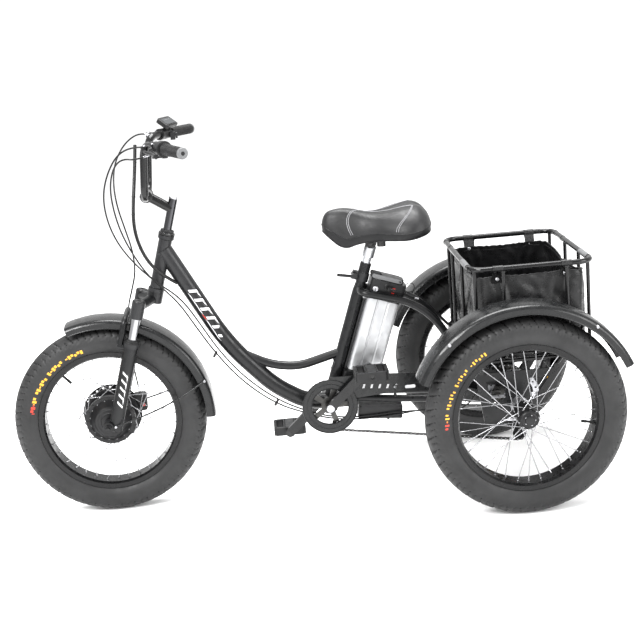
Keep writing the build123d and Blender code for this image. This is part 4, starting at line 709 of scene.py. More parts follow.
def curve_value(table, x):
    """Smooth value between the points of a short table."""
    xs, ys = zip(*table)
    i = max(0, min(len(xs) - 2, int(np.searchsorted(xs, x)) - 1))
    t = (x - xs[i]) / (xs[i + 1] - xs[i])
    low, high = max(i - 1, 0), min(i + 2, len(xs) - 1)
    m0 = (ys[i + 1] - ys[low]) / (xs[i + 1] - xs[low])
    m1 = (ys[high] - ys[i]) / (xs[high] - xs[i])
    h = xs[i + 1] - xs[i]
    return ((2 * t ** 3 - 3 * t ** 2 + 1) * ys[i] + (t ** 3 - 2 * t ** 2 + t) * h * m0
            + (3 * t ** 2 - 2 * t ** 3) * ys[i + 1] + (t ** 3 - t ** 2) * h * m1)


def plan_point(turn):
    """Outline of the seat from above: turn is 0 at the nose, 1 at the tail, minus on the near side."""
    x = saddle_length * (0.5 - 0.5 * math.cos(math.pi * abs(turn)))
    near_nose, near_tail = max(x, 0.0), max(saddle_length - x, 0.0)
    y = curve_value(half_width, x)
    if near_nose < 7:
        y = 19 * math.sqrt(near_nose / 7)
    if near_tail < 5:
        y = 60 * math.sqrt(near_tail / 5)
    return x, math.copysign(y, turn)


def saddle_point(turn, reach):
    """Surface point: reach 0 is the spine, 1 the seam, 2 the lower edge of the skirt."""
    x_out, y_out = plan_point(turn)
    spine_x = 34 + x_out / saddle_length * (saddle_length - 84)
    k = min(reach, 1.0)
    x, y = spine_x + (x_out - spine_x) * k, y_out * k
    top = curve_value(crest, max(0.0, min(saddle_length, spine_x + (x_out - spine_x) * k * 0.55)))
    rear = max(0.0, min(1.0, (x - 165) / 60)) * max(0.0, min(1.0, (saddle_length - x) / 45))
    groove = -9.0 * rear * math.exp(-(y / 15) ** 2)
    lobes = 4.0 * rear * math.exp(-((abs(y) - 62) / 34) ** 2)
    seam = curve_value(seam_height, x_out)
    dome = (1 - k ** 3.1) ** 0.62
    z = seam + (top + groove + lobes - seam) * dome
    if reach > 1:
        down = reach - 1
        low = curve_value(skirt_height, x_out)
        z = seam + (low - seam) * down
        pull = 1 + 0.012 * math.sin(math.pi * down) - 0.035 * down
        x, y = spine_x + (x_out - spine_x) * pull, y_out * pull
    return mm(saddle_nose + x, y, min(z, saddle_top))


turns = [i / 60 for i in range(-59, 61)]
levels = [0.0, 0.12, 0.24, 0.36, 0.47, 0.57, 0.66, 0.74, 0.81, 0.87, 0.92, 0.955, 0.98, 0.995, 1.0, 1.04,
          1.15, 1.4, 1.7, 1.95, 2.0]
rings = [[saddle_point(t, k) for t in turns] for k in levels]
edge_ring = rings[-1]
middle_x = (saddle_nose + 150) * 0.001
under = []
for shrink, lift in ((0.965, -0.4), (0.93, 4), (0.90, 12), (0.5, 14), (0.05, 14)):
    under.append([Vector((middle_x + (p.x - middle_x) * shrink, p.y * shrink, p.z + lift * 0.001))
                  for p in edge_ring])
saddle_shape = Shape()
saddle_shape.rings(rings[:15], 0, capped=False)
saddle_shape.rings(rings[14:], 1, capped=False)
saddle_shape.rings([edge_ring] + under, 1, capped=False)
saddle_shape.add(under[-1], [tuple(range(len(turns)))], 1)
saddle = saddle_shape.piece("saddle_pad", "seat", (leather, skirt_leather), "saddle_cover", sharp=70)
work = bmesh.new()
work.from_mesh(saddle.data)
bmesh.ops.remove_doubles(work, verts=work.verts, dist=0.00002)
bmesh.ops.recalc_face_normals(work, faces=work.faces)
work.to_mesh(saddle.data)
work.free()
smooth = saddle.modifiers.new("smooth", "SUBSURF")
smooth.levels = smooth.render_levels = 1
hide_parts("saddle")

seam_lines = (
    ((0.39, 0.02), (0.36, 0.30), (0.325, 0.62), (0.31, 0.84), (0.325, 0.95), (0.345, 0.995)),
    ((0.80, 0.42), (0.755, 0.58), (0.69, 0.75), (0.635, 0.88), (0.61, 0.95), (0.60, 0.995)),
    ((0.42, 0.05), (0.52, 0.17), (0.62, 0.22), (0.72, 0.30), (0.80, 0.42)),
)
seams = Shape()
for side in (-1, 1):
    for line in seam_lines:
        for offset in (-0.006, 0.006):
            fine = []
            for (t0, k0), (t1, k1) in zip(line, line[1:]):
                fine += [(t0 + (t1 - t0) * s / 8, k0 + (k1 - k0) * s / 8) for s in range(8)]
            fine.append(line[-1])
            path = [saddle_point(side * t + offset, k) + mm(0, 0, 0.5) for t, k in fine]
            path = [sum((path[max(0, min(len(path) - 1, i + d))] for d in range(-3, 4)), Vector()) / 7
                    for i in range(len(path))]
            seams.tube(path, 0.8, 0, 6)
for reach, r in ((1.0, 1.5), (1.97, 1.8)):
    seams.tube([saddle_point(t, reach) for t in turns], r, 1, 8, looped=True)
seams.piece("saddle_seams", "seat", (thread, skirt_leather), "saddle_cover")

clamp_trim = Shape()
clamp_centre = Vector((on_seat(487).x + 0.002, 0, bb.z + 0.483))
for side in (-1, 1):
    clamp_trim.turned(clamp_centre + mm(0, side * 29, 0), Y_DIR * side,
                      [(-6, 16.5), (0, 16.5), (1.5, 15), (1.5, 8.5), (6.5, 8.2), (7.5, 6.5)], 0, 24)
clamp_trim.piece("saddle_clamp_nuts", "seat", (tube_black,), "black_steel")

# ---------------------------------------------------------------- basket liner
basket_front, basket_rear, basket_half, rail_z, wheel_z = -122.0, 228.0, 246.0, 699.0, 290.0
rail_up = rail_z - wheel_z
liner_low, liner_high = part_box("basket_liner")
liner_mid = (liner_low + liner_high) / 2
liner_half = ((liner_high.x - liner_low.x) * 500, (liner_high.y - liner_low.y) * 500)
tabs = [(x, side) for side in (-1, 1) for x in (-98.0, 98.0)]
wall_rows = 20


def liner_edge(count=176, corner=34.0):
    """Plan points round the liner with which side each one is on."""
    hx, hy = liner_half
    points = []
    for p in range(count):
        t = p / count * 2 * (hx + hy) * 2
        for side, length in enumerate((2 * hy, 2 * hx, 2 * hy, 2 * hx)):
            if t < length:
                break
            t -= length
        along = t / length * 2 - 1
        x, y = ((hx, along * hy), (-along * hx, hy), (-hx, -along * hy), (along * hx, -hy))[side]
        d = math.hypot(max(abs(x) - (hx - corner), 0), max(abs(y) - (hy - corner), 0))
        if d > corner:
            cx, cy = math.copysign(hx - corner, x), math.copysign(hy - corner, y)
            x, y = cx + (x - cx) * corner / d, cy + (y - cy) * corner / d
        points.append((x, y, side, along))
    return points


def liner_top(x, y, side, along):
    """How far the top edge hangs under its cut: it sags between the tabs."""
    hang = 1.0
    if side in (1, 3):
        past_tab = abs(along) - 0.62
        hang += 16 * past_tab if past_tab >= 0 else 5 * max(0.0, 1 - abs(along / 0.62) ** 2.2)
        hang += 2.4 * math.sin(along * 23.0) ** 2
    else:
        hang += 4 + 18 * max(0.0, 1 - along ** 2) ** 0.8 + 3 * math.sin(along * 9)
    return hang


def liner_rings():
    rings = []
    edge = liner_edge()
    height = (liner_high.z - liner_low.z) * 1000
    for row in range(27):
        ring = []
        for x, y, side, along in edge:
            v = min(row / wall_rows, 1.0)
            top = height - liner_top(x, y, side, along)
            z = top * (1 - v)
            out = Vector((x, y, 0)).normalized()
            bulge = 9 * math.sin(math.pi * v) * (1 - along ** 2) ** 0.5
            bulge -= 5 * (1 - v) * (1 - abs(along)) ** 0.5
            fold = 0.0
            for tab_x, tab_side in tabs:
                if (side in (1, 3)) and (y > 0) == (tab_side > 0):
                    reach = (x - tab_x) / 30 - 2.4 * v * math.copysign(1, -tab_x)
                    fold += 4.2 * math.exp(-reach ** 2) * math.cos(5.5 * reach) * (1 - v) ** 0.4
            wave = noise.noise(Vector((x * 0.017, y * 0.017, v * 2.6)))
            wave *= 9.0 * math.sin(math.pi * min(v + 0.08, 1))
            crease = abs(noise.noise(Vector((x * 0.03 + z * 0.022, y * 0.03 - z * 0.016, 3.1))))
            crease *= -9.0 * (1 - v * 0.6)
            amount = bulge + fold + wave + crease
            inward = 1.0
            if row > wall_rows:
                inward = 1 - ((row - wall_rows) / 6.05)
                z = 1.5 + 1.2 * noise.noise(Vector((x * inward * 0.03, y * inward * 0.03, 7.7)))
                amount = 0
            if wall_rows - 3 < row <= wall_rows:
                amount *= (wall_rows - row) / 3
            ring.append(Vector((liner_mid.x, liner_mid.y, liner_low.z))
                        + mm(x * inward + out.x * amount, y * inward + out.y * amount, max(z, 0.6)))
        rings.append(ring)
    return rings


liner_skin = liner_rings()
liner_shape = Shape()
liner_shape.rings(liner_skin, capped=False)
liner = liner_shape.piece("basket_bag", "frame", (cloth,), "liner_cloth", sharp=60)
fine = liner.modifiers.new("smooth", "SUBSURF")
fine.levels = fine.render_levels = 1
bpy.context.view_layer.objects.active = liner
liner.select_set(True)
bpy.ops.object.modifier_apply(modifier=fine.name)
liner.select_set(False)
liner.data.polygons.foreach_set("use_smooth", [True] * len(liner.data.polygons))
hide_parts("basket_liner")

trim = Shape()
trim.tube(liner_skin[0], 1.7, 0, 8, looped=True)
trim.tube(liner_skin[1], 0.7, 0, 6, looped=True)
rail_r = 8.0
for x, side in tabs:
    at = from_rear((basket_front + basket_rear) / 2 + x, side * basket_half, rail_up)
    loop = [at + mm(0, -side * 17.1, -46), at + mm(0, -side * 15.4, -26), at + mm(0, -side * 10.5, -9)] \
        + [at + mm(0, -side * (rail_r + 1.5) * math.cos(a), (rail_r + 1.5) * math.sin(a))
           for a in np.linspace(-0.35, math.pi + 0.75, 14)] \
        + [at + mm(0, -side * 6.0, -12.5), at + mm(0, -side * 13.2, -27), at + mm(0, -side * 14.6, -44)]
    rows = [[p + mm(dx, 0, dz) for dx, dz in ((-15, 0), (-14, 0), (14, 0), (15, 0))] for p in loop]
    trim.add([q for row in rows for q in row],
             [(4 * i + j, 4 * i + j + 1, 4 * i + 5 + j, 4 * i + 4 + j) for i in range(len(rows) - 1)
              for j in range(3)], 2)
    for out in (-1, 1):
        trim.turned(at + mm(0, -side * (16.0 + out * 1.6), -33), Y_DIR * (-side * out),
                    [(-1, 5.6), (0.6, 5.4), (1.6, 4.2), (1.9, 2.4), (1.4, 1.2)], 3, 20)
trim_piece = trim.piece("bag_hem_and_tabs", "frame", (webbing, thread, cloth, zinc), "liner_cloth")

rail_trim = Shape()
for x in (basket_front, basket_rear):
    for y in (-196, -104, 104, 196):
        rail_trim.turned(from_rear(x, y, rail_up), Y_DIR, [(-2.5, 8.1), (-2, 9), (2, 9), (2.5, 8.1)], 0, 24)
    rail_trim.turned(from_rear(x, -150, rail_up), Y_DIR, [(-44, 8.1), (-43.5, 8.7), (43.5, 8.7), (44, 8.1)],
                     1, 24)
for side in (-1, 1):
    for x in (-30.0, 152.0):
        for z in (rail_up - 9, 428.0 + 9 - wheel_z):
            rail_trim.turned(from_rear(x, side * basket_half, z), (0, 0, 1),
                             [(-3, 5.6), (-1.6, 7.4), (1.6, 7.4), (3, 5.6)], 0, 16)
rail_trim.piece("rail_joints", "frame", (tube_black, grey_plastic), "black_steel")

# ---------------------------------------------------------------- battery
battery_back = 76
battery_outline = []
base_outline = rounded(100.0, 76.0, 10.0, 8)
for (x0, y0), (x1, y1) in zip(base_outline, base_outline[1:] + base_outline[:1]):
    parts = max(1, round(math.hypot(x1 - x0, y1 - y0) / 1.6))
    battery_outline += [(x0 + (x1 - x0) * i / parts, y0 + (y1 - y0) * i / parts) for i in range(parts)]


def flute(x, y, depth=1.7):
    """Depth of the two narrow square-sided grooves down each side and the back of the case."""
    if abs(y) > 37.5 and abs(x) < 42:
        return depth * (min(abs(x + 16), abs(x - 16)) < 2.2)
    if x > 49.5 and abs(y) < 30:
        return depth * (min(abs(y + 12), abs(y - 12)) < 2.0)
    return 0.0


case = Shape()
case_rings = []
for up, shrink in ((112.0, 1.5), (113.5, 0.0), (355.0, 0.0), (356.0, 0.8)):
    ring = []
    for x, y in battery_outline:
        inward = flute(x, y) + shrink
        d = math.hypot(x, y)
        ring.append(on_seat(up, battery_back + x * (1 - inward / d), y * (1 - inward / d)))
    case_rings.append(ring)
case.rings(case_rings, 0)
for up, high in ((112.0, 9.0), (349.0, 7.0)):
    band = [(up, 0.2), (up + 1, -0.6), (up + high - 1, -0.6), (up + high, 0.2)]
    case.rings([[on_seat(h, battery_back + x * (1 - s / 50), y * (1 - s / 38))
                 for x, y in base_outline] for h, s in band], 1)
case_piece = case.piece("battery_shell", "battery", (cell_alloy, plastic), "alloy", sharp=25)
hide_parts("battery_case")

cap_trim = Shape()
lock = on_seat(380, 42, -43)
cap_trim.turned(lock, -Y_DIR, [(-2, 8.4), (0.6, 8.4), (1.4, 7.4), (1.4, 5.4), (0.4, 5.0)], 0, 28)
cap_trim.slab(lock + mm(0, -0.3, 0), seat_back, seat_up,
              [(-0.9, -3.4), (0.9, -3.4), (0.9, 3.4), (-0.9, 3.4)], 1.0, 1, 0.2)
for k in range(4):
    cap_trim.slab(on_seat(372 + 7 * k, 96, -39.1), seat_back, seat_up,
                  [(-4, -1.6), (4, -1.6), (4, 1.6), (-4, 1.6)], 1.0, 2, 0.3)
cap_trim.turned(on_seat(393, 79, -39), -Y_DIR, [(-3, 12.5), (1.5, 12.2), (3, 10.5), (3, 7.5)], 1, 28)
cap_trim.piece("battery_cap_trim", "battery", (zinc, plastic, red_plastic), "black_plastic")

handle_trim = Shape()
for k in range(9):
    handle_trim.turned(on_seat(416, 30, -22 + 5.5 * k), Y_DIR,
                       [(-1.8, 6.2), (-1.2, 7.2), (1.2, 7.2), (1.8, 6.2)], 0, 18)
handle_trim.piece("battery_handle_ribs", "battery_grip", (grip_rubber,), "grip_rubber")

box_trim = Shape()
box_centre = bb + mm(154, 0, -41)
box_x = Vector((math.cos(0.09), 0, -math.sin(0.09)))
box_z = Vector((math.sin(0.09), 0, math.cos(0.09)))
for side in (-1, 1):
    for dx in (-60, 60):
        for dz in (-15, 15):
            box_trim.bolt(box_centre + (box_x * dx + box_z * dz) * 0.001 + mm(0, side * 32, 0),
                          Y_DIR * side, 3.0, 0)
    box_trim.slab(box_centre + mm(0, side * 31.6, 0), box_x * -side, box_z, rounded(126, 34, 5), 1.4, 1,
                  0.5)
box_trim.piece("controller_cover", "frame", (motor_black, plastic), "black_plastic")


# ---------------------------------------------------------------- handlebar fittings
def grip_profile(start, end, r, pitch=5.0):
    """Ribbed sleeve profile between two distances from the bar's end."""
    profile = [(start, r - 2.2), (start + 1.5, r - 0.4)]
    along = start + 6
    while along + pitch < end - 3:
        profile += [(along, r - 0.2), (along + pitch * 0.3, r - 1.5), (along + pitch * 0.55, r - 1.5),
                    (along + pitch * 0.8, r - 0.2)]
        along += pitch
    return profile + [(end - 1, r - 0.2), (end, r - 1.6)]


grips = Shape()
for side, end in ((-1, 74.0), (1, 125.0)):
    run = on_bar(100, side) - on_bar(0, side)
    grips.turned(on_bar(0, side), run, grip_profile(1.0, end, 16.0), 0, 40)
    grips.turned(on_bar(0, side), run,
                 [(-5.6, 6), (-6, 10), (-5.4, 14.4), (-3.5, 15.8), (0, 16), (1.5, 15.6), (2, 13)], 1, 40)
    grips.turned(on_bar(0, side), run, [(-6.3, 1), (-6.4, 4.2), (-5.8, 5.6), (-5, 6)], 0, 24)
grip_piece = grips.piece("grip_sleeves", "steering", (grip_rubber, grey_plastic), "grip_rubber")
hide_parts("grips")

twist = Shape()
near_run = on_bar(100, -1) - on_bar(0, -1)
twist.turned(on_bar(0, -1), near_run, grip_profile(74.6, 110.0, 17.0, 4.2), 0, 40)
twist.turned(on_bar(0, -1), near_run,
             [(110, 17), (111, 22.6), (112.5, 23), (116.5, 23), (118, 22), (118, 12)], 0, 40)
twist_piece = twist.piece("throttle_grip", "throttle", (grip_rubber,), "grip_rubber")
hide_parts("throttle_sleeve")

bar_trim = Shape()
for y in (-26, 26):
    bar_trim.turned(bar_clamp + mm(0, y, 0), Y_DIR, [(-1.6, 17), (-1, 18.2), (1, 18.2), (1.6, 17)], 0, 36)
for dy in (-16, 16):
    bar_trim.bolt(bar_clamp + mm(-17.5, dy, 0), (-1, 0, 0), 4.0, 1)
bar_trim.turned(on_steer(277), steer_up, [(-4, 13), (0, 12.6), (1.5, 10.5), (1.5, 5.4), (-1, 4.8)], 1, 24)
lever_dist = {-1: 154.0, 1: 175.0}
for side in (-1, 1):
    base = on_bar(lever_dist[side], side)
    pivot = base + mm(-38, 0, -4)
    bar_trim.bolt(pivot + mm(0, 0, 12), (0, 0, 1), 4.4, 1)
    run = (on_bar(100, side) - on_bar(0, side)).normalized()
    barrel = base + mm(-19, 0, 0) + run * 0.022
    bar_trim.turned(barrel, run, [(-1, 6.6), (1, 6.4), (2, 4.6), (7, 4.4), (8, 3.2), (12, 3.0)], 1, 18)
    bar_trim.bolt(base + mm(-16, 0, 12), (-0.5, 0, 1), 3.2, 1)
bar_trim.piece("handlebar_bolts", "steering", (tube_black, zinc), "steel")

tilt = math.radians(35)
along_bar = on_bar(0, 1) - on_bar(100, 1)
along_bar.z = 0
along_bar.normalize()
rearwards = along_bar.cross(Vector((0, 0, 1)))
face = rearwards * math.sin(tilt) + Vector((0, 0, math.cos(tilt)))
face_x = rearwards * math.cos(tilt) - Vector((0, 0, math.sin(tilt)))
display_at = on_bar(145, 1) + mm(6, -6, 33)
screen = Shape()
top = display_at + face * 0.0056
screen.slab(top, face_x, along_bar, rounded(27, 52, 3), 1.0, 0, 0.4)
for k in range(3):
    screen.slab(top + along_bar * (0.014 * (k - 1)) + face_x * 0.0168, face_x, along_bar,
                rounded(4, 9, 1.8), 1.6, 1, 0.5)
for k in range(5):
    screen.slab(top + face * 0.00095 + along_bar * (0.007 * (k - 2)) - face_x * 0.006, face_x, along_bar,
                [(-1.2, -2), (1.2, -2), (1.2, 2), (-1.2, 2)], 0.15, 2, 0.05)
screen.piece("display_screen", "steering", (glass, grip_rubber, grey_plastic), "black_plastic")

# ---------------------------------------------------------------- pedals and cranks
for which in ("near", "far"):
    middle = centre_of(f"pedal_{which}")
    parts = Shape()
    for dx in (-47.6, 47.6):
        for k in range(5):
            parts.slab(middle + mm(dx, -34 + 17 * k, 0), Y_DIR * math.copysign(1, dx), (0, 0, 1),
                       [(-6, -13), (-2, -15.5), (2, -15.5), (6, -13), (6, 13), (2, 15.5), (-2, 15.5),
                        (-6, 13)], 2.4, 1, 0.5)
    for dz in (-13.0, 13.0):
        for k in range(6):
            for dx in (-44, -15, 15, 44):
                parts.turned(middle + mm(dx, -35 + 14 * k, dz), (0, 0, math.copysign(1, dz)),
                             [(-1, 2.6), (1.4, 2.2), (2.4, 1.2)], 1, 8)
    parts.piece(f"pedal_trim_{which}", f"pedal_{which}_body", (plastic, tube_black), "black_plastic")

crank_turn, crank_length = math.radians(43), 0.17
crank_dir = Vector((math.cos(crank_turn), 0, math.sin(crank_turn)))
crank_trim = Shape()
for side, y in ((-1, -88.0), (1, 78.0)):
    crank_trim.turned(bb + mm(0, y, 0), Y_DIR * side,
                      [(-2, 12), (1, 12), (2.4, 10.6), (2.4, 6), (0.6, 5.2)], 0, 30)
    crank_trim.turned(bb - crank_dir * (crank_length * side) + mm(0, y, 0), Y_DIR * side,
                      [(-1, 9), (3, 9), (4, 8)], 0, 6)
for k in range(5):
    a = 2 * math.pi * k / 5
    crank_trim.bolt(bb + mm(60 * math.cos(a), -54.2, 60 * math.sin(a)), -Y_DIR, 4.2, 0)
crank_trim.piece("crank_bolts", "crank", (zinc,), "steel")

guard_ring = Shape()
for r, size in ((83.0, 1.6), (56.2, 1.6), (70.0, 1.0)):
    guard_ring.tube([bb + mm(r * math.cos(t), -66.2, r * math.sin(t))
                     for t in np.linspace(0, 2 * math.pi, 120, endpoint=False)], size, 0, 8, looped=True)
guard_ring.bolt(bb + mm(200, -66, 44), -Y_DIR, 4.4, 1)
guard_ring.piece("chain_guard_rings", "frame", (guard_black, zinc), "black_steel")

# ---------------------------------------------------------------- chain
pitch, chain_y, pin_r = 12.7, -50.0, 3.9
chainring_teeth, cog_teeth, jockey_r = 38, 32, 20.0


def pitch_radius(teeth):
    return pitch / (2 * math.sin(math.pi / teeth))


guide, tension = rear_axle + mm(13, 0, -104), rear_axle + mm(34, 0, -156)
chain_wheels = [(at.x * 1000, at.z * 1000, r) for at, r in (
    (bb, pitch_radius(chainring_teeth)), (tension, jockey_r), (guide, -jockey_r),
    (rear_axle, pitch_radius(cog_teeth)))]


def belt_line(wheels):
    """Closed line round directed circles, as (x, z) points about 2 mm apart."""
    ends = []
    for (x1, z1, r1), (x2, z2, r2) in zip(wheels, wheels[1:] + wheels[:1]):
        normal = math.atan2(z2 - z1, x2 - x1) - math.acos((r1 - r2) / math.hypot(x2 - x1, z2 - z1))
        nx, nz = math.cos(normal), math.sin(normal)
        ends.append(((x1 + r1 * nx, z1 + r1 * nz), (x2 + r2 * nx, z2 + r2 * nz), normal))
    line = []
    for i, (leave, meet, normal) in enumerate(ends):
        steps = max(2, int(math.dist(leave, meet) / 2))
        line += [tuple(p + (q - p) * s / steps for p, q in zip(leave, meet)) for s in range(steps)]
        x, z, r = wheels[(i + 1) % len(wheels)]
        turn = (ends[(i + 1) % len(ends)][2] - normal) % (2 * math.pi)
        if r < 0:
            turn -= 2 * math.pi
        steps = max(2, int(abs(turn * r) / 2))
        for s in range(steps):
            a = normal + turn * s / steps
            line.append((x + r * math.cos(a), z + r * math.sin(a)))
    return line


line = np.array(belt_line(chain_wheels))
gaps = np.linalg.norm(np.roll(line, -1, 0) - line, axis=1)
travelled = np.concatenate([[0], np.cumsum(gaps)])
links = int(round(travelled[-1] / pitch / 2)) * 2
stations = np.linspace(0, travelled[-1], links, endpoint=False)
closed = np.vstack([line, line[:1]])
pins = np.stack([np.interp(stations, travelled, closed[:, k]) for k in (0, 1)], axis=1)
plate_outline = [(pitch / 2 + pin_r * math.cos(a), pin_r * math.sin(a))
                 for a in np.linspace(-1.9, 1.9, 7)] \
    + [(0, 2.7)] \
    + [(-pitch / 2 - pin_r * math.cos(a), pin_r * math.sin(a))
       for a in np.linspace(1.9, -1.9, 7)] + [(0, -2.7)]
chain_shape = Shape()
for i in range(links):
    (xa, za), (xb, zb) = pins[i], pins[(i + 1) % links]
    middle = mm((xa + xb) / 2, 0, (za + zb) / 2)
    run = Vector((xb - xa, 0, zb - za)).normalized()
    rise = run.cross(Y_DIR)
    reach = 3.3 if i % 2 else 2.2
    for side in (-1, 1):
        chain_shape.slab(middle + mm(0, chain_y + side * reach - 0.5, 0), rise, run,
                         [(b, a) for a, b in plate_outline], 1.0, 0, 0.25)
    chain_shape.turned(mm(xa, chain_y, za), Y_DIR, [(-4.1, 1.3), (-3.9, 1.8), (3.9, 1.8), (4.1, 1.3)], 1, 8)
    chain_shape.turned(mm(xa, chain_y, za), Y_DIR, [(-1.7, 3.3), (-1.4, 3.8), (1.4, 3.8), (1.7, 3.3)], 0,
                       10)
chain_piece = chain_shape.piece("chain_links", None, (chain_steel, zinc), "steel")
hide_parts("chain")
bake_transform(chain_piece)


# ---------------------------------------------------------------- cables
def follow(route):
    """Points of the smooth NURBS line whose control points are the route."""
    data = bpy.data.curves.new("route", "CURVE")
    data.dimensions = "3D"
    spline = data.splines.new("NURBS")
    spline.points.add(len(route) - 1)
    for point, place in zip(spline.points, route):
        point.co = (*place, 1)
    spline.order_u = 3
    spline.use_endpoint_u = True
    spline.resolution_u = 10
    holder = bpy.data.objects.new("route", data)
    bpy.context.scene.collection.objects.link(holder)
    mesh = bpy.data.meshes.new_from_object(holder)
    points = [v.co.copy() for v in mesh.vertices]
    bpy.data.objects.remove(holder)
    return points


def head(x, y, z):
    return head_base + mm(x, y, z)


def low(x, y, z):
    return bb + mm(x, y, z)


barrel_end = {side: on_bar(lever_dist[side] + 26, side) + mm(-19, 0, 0) for side in (-1, 1)}
shift_pivot = on_bar(186, -1) + mm(4, 0, -26)
front_caliper_at = front_axle + mm(88, 0, 28)
brake_route = [
    barrel_end[-1], head(-6, -158, 440), head(-56, -146, 422), head(-94, -124, 366), head(-116, -104, 298),
    head(-113, -84, 222), head(-91, -64, 150), head(-50, -50, 84), head(2, -42, 26), head(54, -36, -16),
    head(87, -31, -58), low(-365, -29, 282), low(-318, -29, 197), low(-252, -29, 109), low(-160, -29, 28),
    low(-68, -30, -20), low(10, -34, -44), low(90, -39, -50), low(180, -39, -46), low(276, -44, -44),
    from_rear(-196, -84, -56), from_rear(-136, -122, -34), from_rear(-104, -144, 20),
    from_rear(-83.5, -150, 62),
]
shift_route = [
    shift_pivot + mm(-19, 0, 4), head(-2, -184, 404), head(-44, -172, 410), head(-74, -146, 382),
    head(-92, -112, 324), head(-92, -84, 256), head(-80, -62, 184), head(-56, -42, 116), head(-22, -32, 50),
    head(22, -28, 0), head(64, -23, -50), low(-383, -19, 280), low(-331, -19, 190), low(-263, -19, 98),
    low(-165, -19, 12), low(-67, -18, -31), low(12, -24, -54), low(90, -36, -58), low(180, -38, -56),
    low(290, -40, -44), from_rear(-160, -38, -50), from_rear(-70, -34, -60), from_rear(-26, -31, -66),
    from_rear(-2, -30, -72),
]
front_route = [
    barrel_end[1], head(-8, 158, 448), head(-56, 140, 424), head(-92, 116, 370), head(-102, 92, 308),
    head(-96, 70, 242), head(-78, 50, 176), head(-62, 44, 108), head(-62, 56, 42), head(-80, 82, -14),
    head(-100, 106, -72), head(-110, 113, -142), head(-108, 111, -220), head(-102, 92, -286),
    Vector((front_caliper_at.x, 0.056, front_caliper_at.z + 0.0295)),
]
harness_route = [
    head(-22, 60, 420), head(-26, 34, 370), head(-32, 6, 316), head(-40, -18, 256), head(-44, -36, 192),
    head(-32, -46, 132), head(-6, -46, 78), head(30, -38, 40), head(62, -14, 12),
]


def ferrule(shape, points, tone, r, count=3):
    """Metal end sleeve over the first points of a cable."""
    start, ahead = points[0], points[count]
    shape.turned(start, ahead - start, [(-1, r), (0.5, r + 0.6), (11, r + 0.6), (12, r + 0.1), (18, r)],
                 tone, 16)


def sheathed(shape, route):
    """Cable sheath along a route with a metal sleeve at both ends."""
    points = follow(route)
    shape.tube(points, 2.4, 0, 12)
    ferrule(shape, points, 1, 2.6)
    ferrule(shape, points[::-1], 1, 2.6)


rear_run = Shape()
for route in (brake_route, shift_route):
    sheathed(rear_run, route)
rear_piece = rear_run.piece("rear_cable_sheaths", None, (sheath, zinc), "cable")
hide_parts("rear_cables")
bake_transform(rear_piece)

front_run = Shape()
sheathed(front_run, front_route)
front_piece = front_run.piece("front_cable_sheath", None, (sheath, zinc), "cable")
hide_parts("front_brake_cable")
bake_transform(front_piece)

loom = Shape()
points = follow(harness_route)
loom.tube(points, 5.0, 0, 14)
for k in range(6, len(points) - 6, 9):
    loom.turned(points[k], points[k + 1] - points[k - 1],
                [(-1.2, 5.0), (-0.9, 5.7), (0.9, 5.7), (1.2, 5.0)], 1, 14)
loom_piece = loom.piece("wiring_loom", None, (sheath, plastic), "cable")
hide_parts("wiring_harness")
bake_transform(loom_piece)

plug_at = on_seat(392, 80, -39)
lead_start = low(222, -62, 338)
lead_route = [lead_start, lead_start + mm(42, 0, -9)]
for angle, drift in ((35, 0), (90, -1.5), (150, -1.5), (205, -1.5), (262, -1.5)):
    a = math.radians(angle)
    lead_route.append(lead_route[-1] + mm(16 * math.cos(a), drift, 16 * math.sin(a)))
lead_route += [lead_start + mm(41, -8, -19), low(283, -66, 311)]
lead = Shape()
lead.turned(plug_at, -Y_DIR, [(0, 7.6), (4, 7.6), (5, 6.8), (18, 6.8), (21, 5.4), (22, 3)], 0, 24)
elbow = plug_at + mm(0, -15, 0)
run = lead_start + mm(3, 0, -0.6) - elbow
run_length = run.length * 1000
relief = [(0, 5.2)]
for k in range(5):
    relief += [(run_length * (0.30 + 0.12 * k), 4.6 - 0.5 * k),
               (run_length * (0.35 + 0.12 * k), 5.0 - 0.55 * k)]
lead.turned(elbow, run, relief + [(run_length, 2.2)], 0, 18)
lead_line = follow(lead_route)
lead.tube(lead_line, 1.3, 0, 10)
lead.turned(lead_line[-1], lead_line[-1] - lead_line[-3], [(-8, 1.6), (-7, 3.2), (4, 3.2), (5, 2.2)], 1, 16)
lead_piece = lead.piece("charge_lead_run", None, (sheath, zinc), "cable")
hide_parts("charge_lead")
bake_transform(lead_piece)

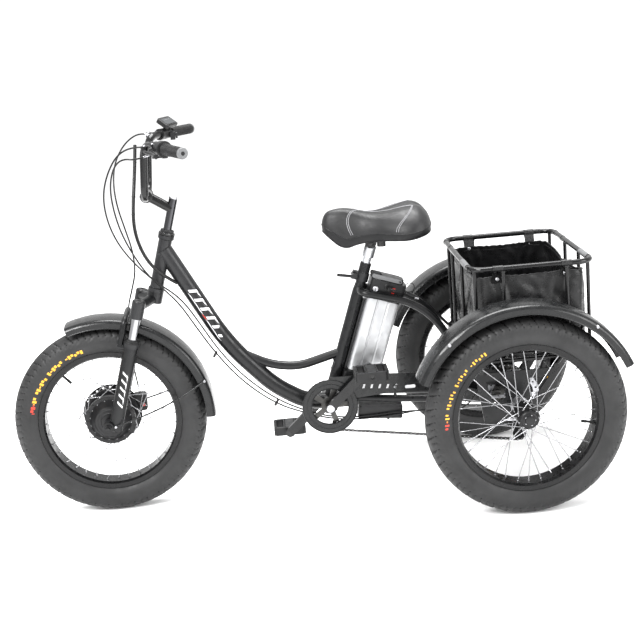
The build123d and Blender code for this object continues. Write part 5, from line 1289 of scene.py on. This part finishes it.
clips = Shape()
for x, y, z in ((-331, -24, 192), (-160, -24, 22), (12, -29, -49), (180, -38, -51)):
    clips.slab(low(x, y + 6, z - 8), (1, 0, -0.6), (0.6, 0, 1), rounded(8, 22, 3), 2.0, 0, 0.5)
clips.piece("cable_clips", "frame", (plastic,), "black_plastic")

# ---------------------------------------------------------------- stage, light and camera
floor_mesh = bpy.data.meshes.new("floor")
floor_half = 30
floor_corners = [(x * floor_half, y * floor_half, 0) for x, y in ((-1, -1), (1, -1), (1, 1), (-1, 1))]
floor_mesh.from_pydata(floor_corners, [], [(0, 1, 2, 3)])
floor = bpy.data.objects.new("floor", floor_mesh)
bpy.context.scene.collection.objects.link(floor)
floor_pale = Finish("floor_pale", (0.95, 0.95, 0.95), 0.9, mottle=0.005)
floor_pale = floor_pale.grain(30, 0.02, 0.0002).material
floor_mesh.materials.append(floor_pale)

world = bpy.data.worlds.new("studio")
bpy.context.scene.world = world
world.use_nodes = True
background = world.node_tree.nodes["Background"].inputs
background["Color"].default_value, background["Strength"].default_value = (1, 1, 1, 1), 1.1


def area_light(name, place, target, size, power):
    data = bpy.data.lights.new(name, "AREA")
    data.shape, data.size, data.size_y, data.energy = "RECTANGLE", size[0], size[1], power
    obj = bpy.data.objects.new(name, data)
    obj.location = place
    obj.rotation_euler = (Vector(target) - Vector(place)).to_track_quat("-Z", "Y").to_euler()
    bpy.context.scene.collection.objects.link(obj)


area_light("key", (-2.4, -3.2, 3.6), (0, 0, 0.5), (2.2, 1.6), 330)
area_light("fill", (3.2, -2.4, 1.8), (0.2, 0, 0.5), (2.0, 2.0), 110)
area_light("top", (0.3, 0.6, 3.8), (0, 0, 0.4), (2.6, 1.8), 240)

camera_data = bpy.data.cameras.new("camera")
camera_data.lens, camera_data.sensor_width = 74.445, 36.0
camera = bpy.data.objects.new("camera", camera_data)
right, up = Vector((0.99489, -0.06520, -0.07708)), Vector((0.09062, 0.24029, 0.96647))
forward = Vector((0.04449, 0.96851, -0.24497))
turn = Matrix((right, up, -forward)).transposed().to_4x4()
camera.matrix_world = Matrix.Translation((-0.1300, -3.8748, 1.5155)) @ turn
bpy.context.scene.collection.objects.link(camera)
bpy.context.scene.camera = camera
bpy.context.scene.view_settings.view_transform = "Standard"
